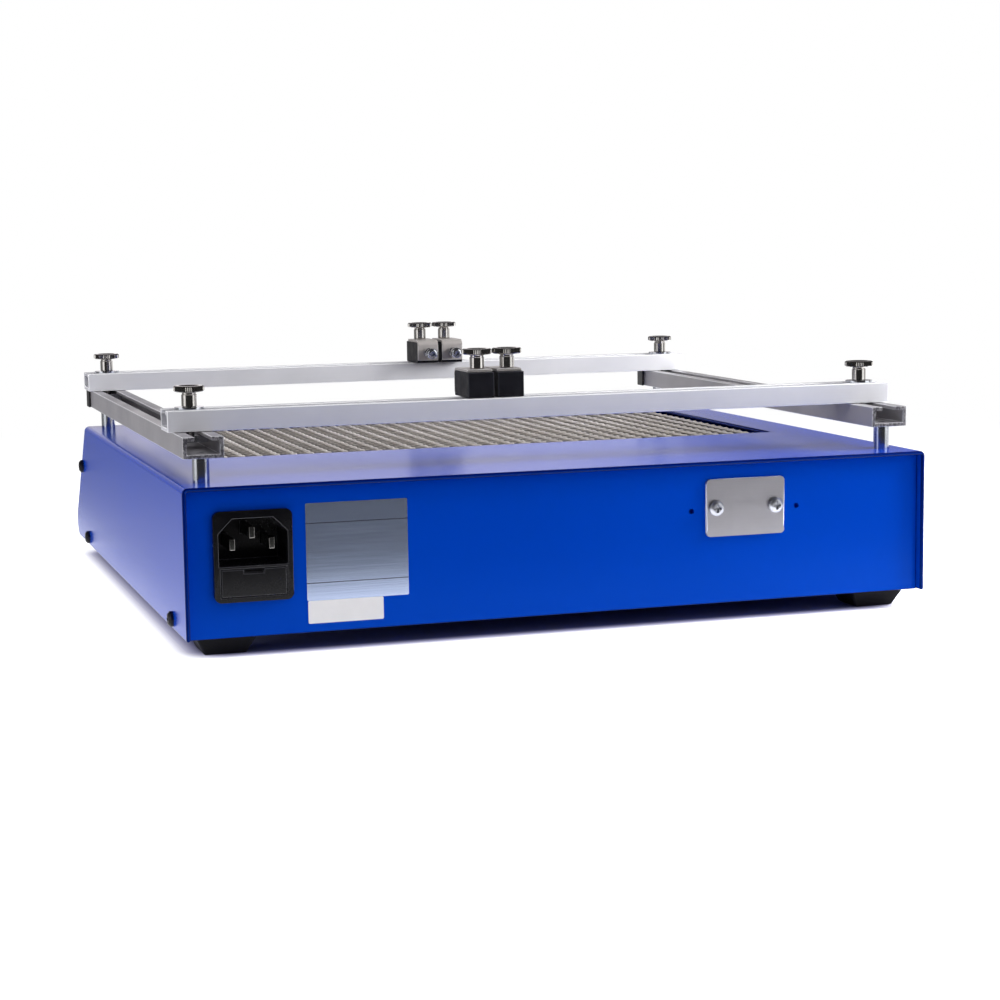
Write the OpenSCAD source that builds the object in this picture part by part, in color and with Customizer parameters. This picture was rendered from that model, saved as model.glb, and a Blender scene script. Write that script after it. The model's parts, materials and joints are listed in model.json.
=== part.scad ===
// Bench preheater for circuit boards: a folded sheet-metal heater box with a sliding board holder on top.
// Millimetres. +Z is up, the sloped control panel faces -Y, the rear panel faces +Y,
// and the origin is on the bench under the middle of the box.

/* [Housing] */
// Width of the box
body_w = 284; // [280:1:320]
// Height of the box without its feet
body_h = 53.5; // [52:0.5:70]
// Depth of the box at its nose
body_d = 288; // [285:1:330]
// Depth of the sloped control panel, seen from above
slope_d = 38; // [33:1:39]
// Height of the nose under the sloped panel
nose_h = 10; // [8:0.5:14]
// Rounding under the nose
nose_r = 6; // [4:0.5:7]
// Thickness of the sheet steel
sheet_t = 1.5; // [1:0.1:1.8]
// Outside radius of the cover's bends
bend_r = 2; // [1.9:0.1:4]
// How far the rear panel sits inside the cover's edge
rear_inset = 3.5; // [3.2:0.1:5]
// Height of the flanges folded up from the base
flange_h = 12; // [9:0.5:16]
// Width of the flanges folded in behind the panels
flange_w = 11; // [9:0.5:14]

/* [Feet] */
// Height of the feet
foot_h = 7; // [5:0.5:12]
// Side of a foot where it meets the base
foot_top = 22; // [18:0.5:24]
// Side of a foot on the bench
foot_bottom = 15; // [10:0.5:17]
// Distance of a foot's middle from the box's side
foot_from_side = 15.5; // [13:0.5:20]
// Distance of the rear feet's middle from the rear edge
foot_from_rear = 18.5; // [15:0.5:30]
// Distance of the front feet's middle from the nose
foot_from_nose = 30; // [20:0.5:40]

/* [Cover screws] */
// Height of the lower side screws above the base
side_screw_z = 3.8; // [3.5:0.1:6]
// Distance of the rear side screw from the rear edge
side_screw_rear = 28; // [20:1:50]
// Distance of the front side screw from the nose
side_screw_nose = 40.5; // [33:0.5:68]
// Height of the upper front screw above the base
panel_screw_z = 34.5; // [28:0.5:38]
// Distance of the upper front screw behind the slope
panel_screw_in = 6; // [5.5:0.25:8]
// Thread diameter of the machine screws
screw_d = 3; // [2.5:0.5:3]
// Head diameter of the machine screws
screw_head_d = 5.6; // [5:0.1:6]
// Head height of the machine screws
screw_head_h = 1.8; // [1.4:0.1:2.2]

/* [Heater opening] */
// Distance of the heater opening from the box's sides
opening_side = 21; // [20:0.5:32]
// Distance of the heater opening from the slope's top edge
opening_front = 19; // [18:0.5:40]
// Distance of the opening from the rear edge
opening_rear = 93; // [91:1:94]
// Diameter of the guard wires
wire_d = 1.4; // [1:0.1:1.6]
// Spacing of the guard wires
wire_pitch = 7; // [6:0.5:10]
// How far the guard reaches under the cover
guard_overlap = 4.5; // [3.5:0.5:5]

/* [Heater] */
// Number of heater tubes
tube_count = 4; // [3:1:5]
// Diameter of a quartz tube
tube_d = 10; // [8:0.5:12]
// Wall of a quartz tube
tube_wall = 1.2; // [1:0.1:1.5]
// Diameter of the heating coil in a tube
coil_d = 4.5; // [3:0.5:5]
// Height of the tubes' middle above the tray's floor
tube_up = 10; // [9:0.5:12]
// Diameter of a ceramic end cap
cap_d = 14; // [12:0.5:16]
// Length of a ceramic end cap
cap_len = 9; // [7:0.5:10]
// Depth of the reflector tray
tray_h = 24; // [20:0.5:26]
// Thickness of the tray's sheet
tray_t = 0.8; // [0.6:0.1:1]
// Thickness of the insulation board
insulation_t = 9; // [6:0.5:12]
// Diameter of the legs that carry the tray
leg_d = 5; // [4:0.5:5]
// Distance of the legs from the tray's ends
leg_in = 37; // [13:1:63]

/* [Power inlet] */
// Distance of the inlet's middle from the box's side
inlet_side = 24.5; // [24:0.5:32]
// Height of the inlet's middle above the base
inlet_z = 28.7; // [26:0.1:30]
// Width of the inlet's flange
inlet_w = 28; // [28:0.5:32]
// Height of the inlet's flange
inlet_h = 32; // [32:0.5:36]
// Thickness of the inlet's flange
inlet_t = 2; // [1.5:0.1:2.5]
// Width of the socket
socket_w = 24.3; // [24:0.1:24.6]
// Height of the socket
socket_h = 16.5; // [16.2:0.1:16.8]
// Depth of the socket
socket_d = 17; // [16:0.5:18]
// Height of the socket's middle above the inlet's middle
socket_up = 4.9; // [4.6:0.1:5.2]
// Width of the fuse drawer
drawer_w = 23; // [22.5:0.1:23.4]
// Height of the fuse drawer
drawer_h = 9.6; // [9:0.1:9.8]
// Depth of the fuse drawer
drawer_d = 20; // [16:0.5:22]
// Height of the drawer's middle below the inlet's middle
drawer_down = 9.3; // [9.1:0.1:9.5]
// Diameter of the fuse
fuse_d = 5.2; // [5:0.1:5.3]
// Length of the fuse
fuse_len = 20; // [18:0.5:20]

/* [Blank plate] */
// Distance of the plate's middle from the box's side
plate_side = 73.4; // [62:0.1:87]
// Height of the plate's middle above the base
plate_z = 35.9; // [34:0.1:37]
// Width of the plate
plate_w = 31.5; // [30:0.5:36]
// Height of the plate
plate_h = 21.4; // [18:0.1:22]
// Thickness of the plate
plate_t = 1.2; // [1:0.1:1.5]
// Distance between the plate's screws
plate_screws = 24; // [22:0.1:25]
// Distance between the accessory holes beside the plate
accessory_spacing = 42.5; // [40:0.1:48]
// Diameter of the accessory holes
accessory_d = 2; // [1.8:0.1:3]
// Depth of the accessory holes below the plate's middle
accessory_drop = 0.9; // [0:0.1:2]

/* [Front controls] */
// Distance of the power switch from the box's side
switch_side = 34; // [27:1:47]
// Length of the switch's bezel
switch_len = 21; // [20:0.5:24]
// Width of the switch's bezel
switch_w = 15; // [14:0.5:18]
// Depth of the switch behind the panel
switch_depth = 13; // [10:0.5:15]
// Tilt of the rocker
rocker_tilt = 8; // [6:0.5:9]
// Distance of the knob from the power switch
knob_off = 52; // [43:1:68]
// Diameter of the knob
knob_d = 20; // [16:0.5:24]
// Height of the knob
knob_h = 13; // [11:0.5:16]
// Diameter of the control's shaft
shaft_d = 6; // [5:0.5:6]
// Distance of the pilot lamp from the power switch
lamp_off = 25; // [20:1:33]
// Diameter of the pilot lamp
lamp_d = 8; // [6:0.5:10]
// Distance of the controls from the top of the slope
control_s = 27; // [25:0.5:30]

/* [Electronics] */
// Place of the control board's middle, to the right of the box's middle
board_x = -28; // [-40:1:-20]
// Length of the control board
board_w = 100; // [90:1:110]
// Depth of the control board
board_d = 56; // [50:1:60]
// Thickness of the control board
board_t = 1.6; // [1.2:0.1:2]
// Height of the board's standoffs
standoff_h = 10; // [8:0.5:12]
// Diameter of the board's standoffs
standoff_d = 6; // [5:0.5:7]
// Diameter of the internal wires
lead_d = 2.4; // [2:0.1:3]

/* [Holder rails] */
// Width of the channel rails
rail_w = 14.4; // [13:0.1:15]
// Height of the channel rails
rail_h = 7.6; // [7.2:0.1:9]
// Wall of the channel rails
rail_t = 1.4; // [1.2:0.1:1.6]
// Width of the slot in a rail
slot_w = 6; // [5:0.5:6.5]
// Distance of the side rails' middle from the box's side
rail_side = 9.8; // [9:0.1:10.5]
// Distance of the side rails' rear end from the rear edge
rail_rear = 10.5; // [8:0.5:12]
// How far the side rails reach past the slope's top edge
rail_past = 0.5; // [-1:0.5:2.5]
// Length of an end cap on a side rail
rail_cap_len = 6.5; // [5:0.5:8]
// Diameter of the posts
post_d = 6; // [5.5:0.5:7]
// Height of the posts
post_h = 8.8; // [8:0.1:14]
// Distance of the rear posts from the rear edge
post_rear = 17; // [15:0.5:24]
// Distance of the front posts from the slope's top edge
post_in = 6; // [4:0.5:15]

/* [Cross bars] */
// How far the cross bars reach past the side rails' middle
bar_over = 9.2; // [7.8:0.1:17.8]
// Distance of the rear bar's middle from the rear edge
rear_bar_at = 36; // [28:0.5:60]
// Distance of the front bar's middle from the slope's top edge
front_bar_in = 7; // [7:0.5:25]

/* [Thumbscrews] */
// Diameter of the knurled head
thumb_d = 11.1; // [9:0.1:11.2]
// Height of the knurled head
thumb_h = 2.2; // [1.8:0.1:3]
// Diameter of the collar
collar_d = 5.5; // [5:0.1:7]
// Height of the collar
collar_h = 5.3; // [4.5:0.1:7]
// Diameter of the washers under the bar screws
washer_d = 10.5; // [9:0.1:12]
// Thickness of the washers
washer_t = 0.8; // [0.5:0.1:1]
// Thickness of the slide nuts
nut_t = 2.4; // [2:0.1:3]
// Length of the slide nuts
nut_len = 9; // [7:0.5:10]

/* [Board clamps] */
// Width of a clamp
clamp_w = 10; // [9:0.1:11]
// Depth of a clamp's block
clamp_d = 17.5; // [16:0.5:20]
// Height of a clamp's block
clamp_h = 9.4; // [8.5:0.1:12]
// How far a block reaches outwards from its screw
clamp_back = 5.2; // [4:0.1:6]
// Thickness of the jaw plate
jaw_t = 1; // [0.8:0.1:1.5]
// Inside radius of the jaw plate's bend
jaw_bend = 1.4; // [0.8:0.1:2]
// Height of the jaw plate's lower edge above the bar
jaw_low = 1.2; // [0.8:0.1:1.6]
// Diameter of the board pin
pin_d = 4.6; // [3.6:0.1:5]
// Length of the board pin
pin_len = 8; // [6:0.1:9]
// Height of the board pin above the bar
pin_up = 4.7; // [4.2:0.1:5.2]
// Width of the pin's board groove
groove_w = 1.8; // [1.6:0.1:2.2]
// Place of the rear bar's right clamp
rear_right_x = 24.7; // [-60:0.1:80]
// Place of the front bar's right clamp
front_right_x = -12.6; // [-60:0.1:80]
// Gap between two clamps that stand side by side
pair_gap = 0.5; // [0.5:0.1:60]

/* [Hidden] */
$fn = 48;
// Clearances: pieces that are fastened, pieces that slide, shafts that turn
seat = 0.1;
slide = 0.15;
run = 0.05;
eps = 0.01;

// Lengths and places that follow the box's width and depth
top_d = body_d - slope_d;
opening_w = body_w - 2 * opening_side;
opening_d = top_d - opening_rear - opening_front;
side_screw_front = body_d - side_screw_nose;
inlet_x = body_w / 2 - inlet_side;
plate_x = body_w / 2 - plate_side;
switch_x = body_w / 2 - switch_side;
lamp_x = switch_x - lamp_off;
knob_x = switch_x - knob_off;
rail_x = body_w / 2 - rail_side;
rail_len = top_d + rail_past - rail_rear;
post_front = top_d - post_in;
bar_len = 2 * (rail_x + bar_over);
front_bar_at = top_d - front_bar_in;

// Heights from the bench
z_bot = foot_h;
z_top = z_bot + body_h;
z_under = z_top - sheet_t;
z_floor = z_bot + sheet_t;
z_rail = z_top + post_h;
z_bar = z_rail + rail_h + slide;
z_clamp = z_bar + rail_h + slide;

// Depths, measured forward from the cover's rear edge
rear_y = body_d / 2;
nose_y = -body_d / 2;
slope_top_y = rear_y - top_d;
panel_y = rear_y - rear_inset;

// Slope of the control panel
slope_dy = top_d - body_d;
slope_dz = nose_h - body_h;
slope_len = norm([slope_dy, slope_dz]);
slope_u = [slope_dy, slope_dz] / slope_len;
slope_in = [-slope_u[1], slope_u[0]];
slope_angle = atan2(-slope_dz, -slope_dy);
front_inset = sheet_t + seat;

// Inside width of the cover and the pieces folded to fit it
inner_w = body_w - 2 * (sheet_t + seat);
base_gap = 0.5;
thread_spare = 2;

// Corner radii of the flat outlines, and the chamfer on a knurled head
inlet_r = 2.5;
cut_r = 1.5;
plate_r = 1.6;
bezel_r = 1.2;
thumb_edge = 0.4;

// Cross recess in a pan head
recess_len = screw_head_d * 0.56;
recess_w = screw_head_d * 0.15;
recess_d = screw_head_h * 0.55;

// Opening and heater cassette
opening_r = 2;
opening_y = rear_y - opening_rear - opening_d / 2;
guard_w = opening_w + 2 * guard_overlap;
guard_d = opening_d + 2 * guard_overlap;
upper_wire_z = z_under - seat / 2 - wire_d / 2;
lower_wire_z = upper_wire_z - wire_d - seat / 5;
frame_t = tray_t;
frame_z = lower_wire_z - wire_d / 2 - seat / 5 - frame_t;
tray_top = frame_z - seat / 5;
tray_floor = tray_top - tray_h;
tray_margin = 2;
rim_margin = 1;
tray_w = opening_w + 2 * tray_margin;
tray_d = opening_d + 2 * tray_margin;
leg_x = tray_w / 2 - leg_in;
tray_rim_w = guard_w + 2 * rim_margin;
tray_rim_d = guard_d + 2 * rim_margin;
tube_z = tray_floor + tray_t + tube_up;
tube_pitch = tray_d / tube_count;
cap_end = 1;
tube_len = tray_w + 2 * (cap_len - cap_end);
cap_out = tray_w / 2 + run + cap_len;

// Power inlet: two contacts in a row, and the earth contact above them
inlet_lip = 1;
inlet_depth = max(socket_d, drawer_d) + 3;
socket_cut = 5;
contact_w = 2;
contact_h = 4;
contact_x = 7;
contact_low = -1;
contact_high = 3;
contact_places = [[-contact_x, contact_low], [contact_x, contact_low], [0, contact_high]];
contact_tip = 2;
tag_len = 6;
tag_y = panel_y + inlet_t - inlet_depth - tag_len;
contact_z = z_bot + inlet_z + socket_up + contact_low;
pry_w = 7;
pry_h = 1.5;
pry_d = 1.5;
fuse_end = 5;
fuse_step = 0.3;

// Front controls
bezel_lip = 1;
bezel_wall = 2;
bezel_h = 2;
well_d = 6;
rocker_gap = 0.4;
pivot_d = 2.4;
pivot_stub = 0.5;
bush_wall = 0.6;
bush_h = 3;
pot_d = 17;
pot_h = 9;
pot_depth = sheet_t + run + pot_h;
shaft_in = 4;
knob_foot = 3.2;
lamp_depth = 10;
lamp_rim = 1.4;

// Thermal cut-out
cutout_d = 15;
cutout_h = 8;
cutout_tag = [3, 6, 0.8];
cutout_tag_x = 4;
cutout_y = opening_y + tray_d / 2 + run;
cutout_z = tray_floor + tray_h / 2;
cutout_tag_y = cutout_y + cutout_h + cutout_tag[1];

// Side screws
panel_screw_y = slope_top_y + slope_dy * (body_h - panel_screw_z) / -slope_dz + panel_screw_in;

// Holder
rail_cavity_w = rail_w - 2 * rail_t;
nut_w = rail_cavity_w - 2 * slide;
rail_nut_z = z_rail + rail_h - rail_t - slide - nut_t;
bar_nut_z = z_bar + rail_h - rail_t - slide - nut_t;
bar_seat_z = z_bar + rail_h + washer_t;
rear_bar_y = rear_y - rear_bar_at;
front_bar_y = rear_y - front_bar_at;
clamp_seat_z = z_clamp + clamp_h + run + jaw_t;
jaw_face = clamp_d - clamp_back + run;
jaw_side = 0.2;
pair_pitch = max(thumb_d, clamp_w) + pair_gap;
rear_left_x = rear_right_x - pair_pitch;
front_left_x = front_right_x - pair_pitch;
rail_front_y = rear_y - rail_rear - rail_len;

// Shared shapes

// Rectangle with round corners, centred
module round_rect(w, h, r) {
    square([w - 2 * r, h], center = true);
    square([w, h - 2 * r], center = true);
    for (x = [-1, 1], y = [-1, 1])
        translate([x * (w / 2 - r), y * (h / 2 - r)])
            circle(r);
}

// Flat shape in Y and Z, extruded along X about x = 0
module across(len) {
    rotate([90, 0, 90])
        translate([0, 0, -len / 2])
            linear_extrude(len)
                children();
}

// Flat shape in X and Z, extruded towards +Y from y0
module along(y0, len) {
    translate([0, y0 + len, 0])
        rotate([90, 0, 0])
            linear_extrude(len)
                children();
}

// Hole or peg along X
module peg_x(d, len) {
    rotate([0, 90, 0])
        cylinder(d = d, h = len, center = true);
}

// Hole or peg along Y
module peg_y(d, len) {
    rotate([90, 0, 0])
        cylinder(d = d, h = len, center = true);
}

// Place on the control panel's outer face: x across, s down from the top of the slope, local +Z outwards
function front_point(x, s, out) = [
    x,
    slope_top_y + slope_in[0] * (front_inset - out) + slope_u[0] * s,
    z_top + slope_in[1] * (front_inset - out) + slope_u[1] * s
];
module on_front(x, s) {
    translate(front_point(x, s, 0))
        rotate([slope_angle, 0, 0])
            children();
}

// Points of the slope, drawn in by i: its depth at a height, and its height at a depth
function slope_y(z, i) =
    slope_top_y + slope_in[0] * i + slope_u[0] * (z - z_top - slope_in[1] * i) / slope_u[1];
function slope_z(y, i) =
    z_top + slope_in[1] * i + slope_u[1] * (y - slope_top_y - slope_in[0] * i) / slope_u[0];

// Side outline of the box, drawn in by i on every side
module side_outline(i) {
    r = nose_r - i;
    difference() {
        polygon([
            [rear_y - i, z_bot + i],
            [rear_y - i, z_top - i],
            [slope_y(z_top - i, i), z_top - i],
            [nose_y + i, slope_z(nose_y + i, i)],
            [nose_y + i, z_bot + i]
        ]);
        translate([nose_y + i, z_bot + i])
            difference() {
                translate([-eps, -eps])
                    square(r + eps);
                translate([r, r])
                    circle(r);
            }
    }
}

// Pan head screw along +Z: the head's seat is at z = 0 and the thread points down
module pan_screw(len) {
    difference() {
        rotate_extrude()
            polygon([
                [0, -len],
                [screw_d / 2, -len],
                [screw_d / 2, 0],
                [screw_head_d / 2, 0],
                [screw_head_d / 2, screw_head_h * 0.55],
                [screw_head_d * 0.34, screw_head_h],
                [0, screw_head_h]
            ]);
        for (a = [0, 90])
            rotate([0, 0, a])
                translate([-recess_len / 2, -recess_w / 2, screw_head_h - recess_d])
                    cube([recess_len, recess_w, screw_head_h]);
    }
}

// Thumbscrew along +Z: the collar's seat is at z = 0 and the thread points down
module thumbscrew(len) {
    color("silver")
        rotate_extrude()
            polygon([
                [0, -len],
                [screw_d / 2, -len],
                [screw_d / 2, 0],
                [collar_d / 2, 0],
                [collar_d / 2, collar_h],
                [thumb_d / 2 - thumb_edge, collar_h],
                [thumb_d / 2, collar_h + thumb_edge],
                [thumb_d / 2, collar_h + thumb_h - thumb_edge],
                [thumb_d / 2 - thumb_edge, collar_h + thumb_h],
                [thumb_d * 0.32, collar_h + thumb_h],
                [thumb_d * 0.28, collar_h + thumb_h - thumb_edge],
                [0, collar_h + thumb_h - thumb_edge]
            ]);
}

// Section of a lipped channel rail, slot upwards, standing on zero
module rail_section() {
    difference() {
        translate([-rail_w / 2, 0])
            square([rail_w, rail_h]);
        translate([-rail_cavity_w / 2, rail_t])
            square([rail_cavity_w, rail_h - 2 * rail_t]);
        translate([-slot_w / 2, rail_h - rail_t - eps])
            square([slot_w, rail_t + 2 * eps]);
    }
}

// Slide nut with a clear hole for a thumbscrew, standing on z = 0
module slide_nut(w, len) {
    difference() {
        translate([-w / 2, -len / 2, 0])
            cube([w, len, nut_t]);
        translate([0, 0, -eps])
            cylinder(d = screw_d + 2 * run, h = nut_t + 2 * eps);
    }
}

// Tube of the given diameter swept along a list of points
module swept_lead(points, d, sides = 8) {
    n = len(points);
    function unit(v) = v / norm(v);
    function heading(i) = unit(points[min(i + 1, n - 1)] - points[max(i - 1, 0)]);
    function side_of(t) = unit(abs(t[2]) > 0.9 ? cross(t, [1, 0, 0]) : cross(t, [0, 0, 1]));
    function ring(i) =
        let (t = heading(i), a = side_of(t), b = cross(t, a))
        [for (k = [0:sides - 1]) points[i] + (a * cos(360 * k / sides) + b * sin(360 * k / sides)) * d / 2];
    polyhedron(
        points = [for (i = [0:n - 1]) each ring(i)],
        faces = concat(
            [[for (k = [0:sides - 1]) k]],
            [for (i = [0:n - 2], k = [0:sides - 1])
                let (a = i * sides + k, b = i * sides + (k + 1) % sides)
                [a, a + sides, b + sides, b]],
            [[for (k = [sides - 1:-1:0]) (n - 1) * sides + k]]
        )
    );
}

// Places of the repeated pieces
foot_places = [
    for (x = [-1, 1], y = [rear_y - foot_from_rear, nose_y + foot_from_nose])
        [x * (body_w / 2 - foot_from_side), y]
];
post_places = [for (x = [-rail_x, rail_x], y = [rear_y - post_rear, rear_y - post_front]) [x, y]];
lower_screws = [
    [rear_y - side_screw_rear, z_bot + side_screw_z],
    [rear_y - side_screw_front, z_bot + side_screw_z]
];
upper_screw = [panel_screw_y, z_bot + panel_screw_z];
tube_places = [for (k = [0:tube_count - 1]) opening_y + (k - (tube_count - 1) / 2) * tube_pitch];

// Cover folded over the top and both sides
module top_cover() {
    color("royalblue")
        difference() {
            intersection() {
                along(nose_y, body_d)
                    translate([0, z_bot])
                        difference() {
                            union() {
                                translate([0, body_h / 2])
                                    round_rect(body_w, body_h, bend_r);
                                translate([-body_w / 2, 0])
                                    square([body_w, body_h / 2]);
                            }
                            translate([0, body_h / 2 - sheet_t])
                                round_rect(body_w - 2 * sheet_t, body_h, max(bend_r - sheet_t, 0.3));
                            translate([sheet_t - body_w / 2, -eps])
                                square([body_w - 2 * sheet_t, body_h / 2]);
                        }
                across(body_w + 2)
                    side_outline(0);
            }
            translate([0, opening_y, z_top])
                linear_extrude(4 * sheet_t, center = true)
                    round_rect(opening_w, opening_d, opening_r);
            for (p = post_places)
                translate([p[0], p[1], z_under - eps])
                    cylinder(d = screw_d + 2 * seat, h = sheet_t + 2 * eps);
            for (p = [each lower_screws, upper_screw])
                translate([0, p[0], p[1]])
                    peg_x(screw_d + 2 * seat, body_w + 2);
        }
}

// Base folded up at the back and both sides
module base_pan() {
    back = panel_y;
    front = nose_y + nose_r + base_gap;
    wall_top = z_under - seat;
    color("royalblue")
        difference() {
            union() {
                translate([-inner_w / 2, front, z_bot])
                    cube([inner_w, back - front, sheet_t]);
                translate([-inner_w / 2, back - sheet_t, z_bot])
                    cube([inner_w, sheet_t, wall_top - z_bot]);
                translate([-inner_w / 2, back - flange_w, wall_top - sheet_t])
                    cube([inner_w, flange_w, sheet_t]);
                for (x = [-inner_w / 2, inner_w / 2 - sheet_t]) {
                    translate([x, rear_y - side_screw_front - flange_w, z_bot])
                        cube([sheet_t, back - rear_y + side_screw_front + flange_w, flange_h]);
                    translate([x, back - flange_w, z_bot])
                        cube([sheet_t, flange_w, wall_top - z_bot]);
                }
            }
            for (p = lower_screws)
                translate([0, p[0], p[1]])
                    peg_x(screw_d + 2 * run, body_w);
            translate([inlet_x, back, z_bot + inlet_z])
                rotate([90, 0, 0])
                    linear_extrude(4 * sheet_t, center = true)
                        round_rect(inlet_w - 2 * inlet_lip, inlet_h - 2 * inlet_lip, cut_r);
            translate([-plate_x, back, z_bot + plate_z])
                rotate([90, 0, 0])
                    linear_extrude(4 * sheet_t, center = true)
                        round_rect(plate_screws - screw_head_d - 1, plate_h - 4, cut_r);
            for (s = [-1, 1]) {
                translate([-plate_x + s * plate_screws / 2, back, z_bot + plate_z])
                    peg_y(screw_d + 2 * run, 4 * sheet_t);
                translate([-plate_x + s * accessory_spacing / 2, back, z_bot + plate_z - accessory_drop])
                    peg_y(accessory_d, 4 * sheet_t);
            }
            for (p = post_places)
                translate([p[0], p[1], wall_top])
                    cylinder(d = screw_head_d + 4 * seat, h = 4 * sheet_t, center = true);
        }
}

// Control panel folded along the slope, with flanges behind both ends
module front_panel() {
    top_flange_y = slope_top_y + flange_w;
    low_flange_y = nose_y + 2 * flange_w;
    mid_z = z_bot + nose_h;
    low_z = mid_z + flange_w / 2;
    high_z = z_under - seat - sheet_t / 2;
    skin = front_inset + sheet_t / 2;
    color("royalblue")
        difference() {
            union() {
                across(inner_w)
                    intersection() {
                        difference() {
                            side_outline(front_inset);
                            side_outline(front_inset + sheet_t);
                        }
                        union() {
                            translate([nose_y, mid_z])
                                square([top_flange_y - nose_y, body_h]);
                            translate([nose_y, z_bot])
                                square([low_flange_y - nose_y, nose_h + eps]);
                        }
                    }
                for (x = [-1, 1])
                    translate([x * (inner_w - sheet_t) / 2, 0, 0])
                        across(sheet_t)
                            polygon([
                                [slope_y(low_z, skin), low_z],
                                [slope_y(high_z, skin), high_z],
                                [slope_y(high_z, front_inset + flange_w), high_z],
                                [slope_y(low_z, front_inset + flange_w), low_z]
                            ]);
            }
            for (p = post_places)
                translate([p[0], p[1], z_under])
                    cylinder(d = screw_head_d + 4 * seat, h = 6 * sheet_t, center = true);
            translate([0, upper_screw[0], upper_screw[1]])
                peg_x(screw_d + 2 * run, body_w);
            on_front(switch_x, control_s)
                cube([switch_w - 2 * bezel_lip, switch_len - 2 * bezel_lip, 6 * sheet_t], center = true);
            on_front(knob_x, control_s)
                cylinder(d = shaft_d + 2 * (bush_wall + seat), h = 6 * sheet_t, center = true);
            on_front(lamp_x, control_s)
                cylinder(d = lamp_d - 2 * bezel_lip, h = 6 * sheet_t, center = true);
        }
}

// Tapered square feet
module rubber_feet() {
    half_top = foot_top / 2;
    half_low = foot_bottom / 2;
    taper = [[-half_low, 0], [half_low, 0], [half_top, foot_h], [-half_top, foot_h]];
    color("black")
        for (p = foot_places)
            translate([p[0], p[1], 0])
                intersection() {
                    across(foot_top)
                        polygon(taper);
                    along(-foot_top / 2, foot_top)
                        polygon(taper);
                }
}

// Black screws that hold the cover's sides
module cover_screws() {
    color("black")
        for (p = [each lower_screws, upper_screw], s = [-1, 1])
            translate([s * body_w / 2, p[0], p[1]])
                rotate([0, s * 90, 0])
                    pan_screw(2 * sheet_t + thread_spare);
}

// Outline of the socket: the upper corners are cut off
module socket_outline() {
    w = socket_w / 2;
    h = socket_h / 2;
    cut = socket_cut;
    polygon([[-w, -h], [w, -h], [w, h - cut], [w - cut, h], [cut - w, h], [-w, h - cut]]);
}

// Place on the rear panel's outer face: local +Z outwards, local +Y up
module on_rear(x, z) {
    translate([x, panel_y, z_bot + z])
        rotate([90, 0, 180])
            children();
}

// Inlet body with its socket and the drawer's bay
module inlet_housing() {
    back_w = inlet_w - 2 * (inlet_lip + seat);
    back_h = inlet_h - 2 * (inlet_lip + seat);
    color("dimgray")
        on_rear(inlet_x, inlet_z)
            difference() {
                union() {
                    translate([0, 0, seat / 2])
                        linear_extrude(inlet_t)
                            round_rect(inlet_w, inlet_h, inlet_r);
                    translate([0, 0, inlet_t - inlet_depth])
                        linear_extrude(inlet_depth - inlet_t + 2 * seat)
                            round_rect(back_w, back_h, cut_r);
                }
                translate([0, socket_up, inlet_t + seat - socket_d])
                    linear_extrude(socket_d + 1)
                        socket_outline();
                translate([0, -drawer_down, inlet_t + seat - drawer_d - 1])
                    linear_extrude(drawer_d + 2)
                        square([drawer_w + 2 * slide, drawer_h + 2 * slide], center = true);
                for (p = contact_places)
                    translate([p[0], socket_up + p[1], -inlet_depth])
                        linear_extrude(2 * inlet_depth)
                            square([contact_w + 2 * run, contact_h + 2 * run], center = true);
            }
}

// Blades of the inlet, with solder tags behind
module inlet_contacts() {
    back = inlet_t - inlet_depth - tag_len;
    color("silver")
        on_rear(inlet_x, inlet_z)
            for (p = contact_places)
                translate([p[0] - contact_w / 2, socket_up + p[1] - contact_h / 2, back])
                    cube([contact_w, contact_h, inlet_t - contact_tip - back]);
}

// Fuse drawer with a cradle for one fuse
module fuse_drawer() {
    bed_w = fuse_len + 2 * slide;
    bed_d = fuse_d + 2 * slide;
    front = inlet_t + seat;
    color("dimgray")
        on_rear(inlet_x, inlet_z - drawer_down)
            difference() {
                translate([-drawer_w / 2, -drawer_h / 2, front - drawer_d])
                    cube([drawer_w, drawer_h, drawer_d]);
                translate([-bed_w / 2, -bed_d / 2, inlet_t - drawer_d / 2 - bed_d / 2])
                    cube([bed_w, drawer_h, bed_d]);
                translate([-pry_w / 2, drawer_h / 2 - pry_h, front - pry_d])
                    cube([pry_w, pry_h + 1, pry_d + 1]);
            }
}

// Cartridge fuse lying across the drawer
module fuse() {
    half = fuse_len / 2;
    r = fuse_d / 2;
    color("beige")
        on_rear(inlet_x, inlet_z - drawer_down)
            translate([0, 0, inlet_t - drawer_d / 2])
                rotate([0, 90, 0])
                    rotate_extrude()
                        polygon([
                            [0, -half],
                            [r, -half],
                            [r, fuse_end - half],
                            [r - fuse_step, fuse_end - half],
                            [r - fuse_step, half - fuse_end],
                            [r, half - fuse_end],
                            [r, half],
                            [0, half]
                        ]);
}

// Plate over the unused connector opening
module blank_plate() {
    color("lightgray")
        on_rear(-plate_x, plate_z)
            difference() {
                translate([0, 0, run])
                    linear_extrude(plate_t)
                        round_rect(plate_w, plate_h, plate_r);
                for (s = [-1, 1])
                    translate([s * plate_screws / 2, 0, -1])
                        cylinder(d = screw_d + 2 * seat, h = plate_t + 2);
            }
}

// Screws of the blank plate
module blank_plate_screws() {
    color("silver")
        on_rear(-plate_x, plate_z)
            for (s = [-1, 1])
                translate([s * plate_screws / 2, 0, plate_t + 2 * run])
                    pan_screw(plate_t + sheet_t + thread_spare);
}

// Guard of crossing wires under the opening
module guard_wires() {
    nx = floor((guard_w - 2) / wire_pitch / 2);
    ny = floor((guard_d - 2) / wire_pitch / 2);
    color("tan") {
        for (k = [-nx:nx])
            translate([k * wire_pitch, opening_y, upper_wire_z])
                peg_y(wire_d, guard_d);
        for (k = [-ny:ny])
            translate([0, opening_y + k * wire_pitch, lower_wire_z])
                peg_x(wire_d, guard_w);
    }
}

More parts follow.
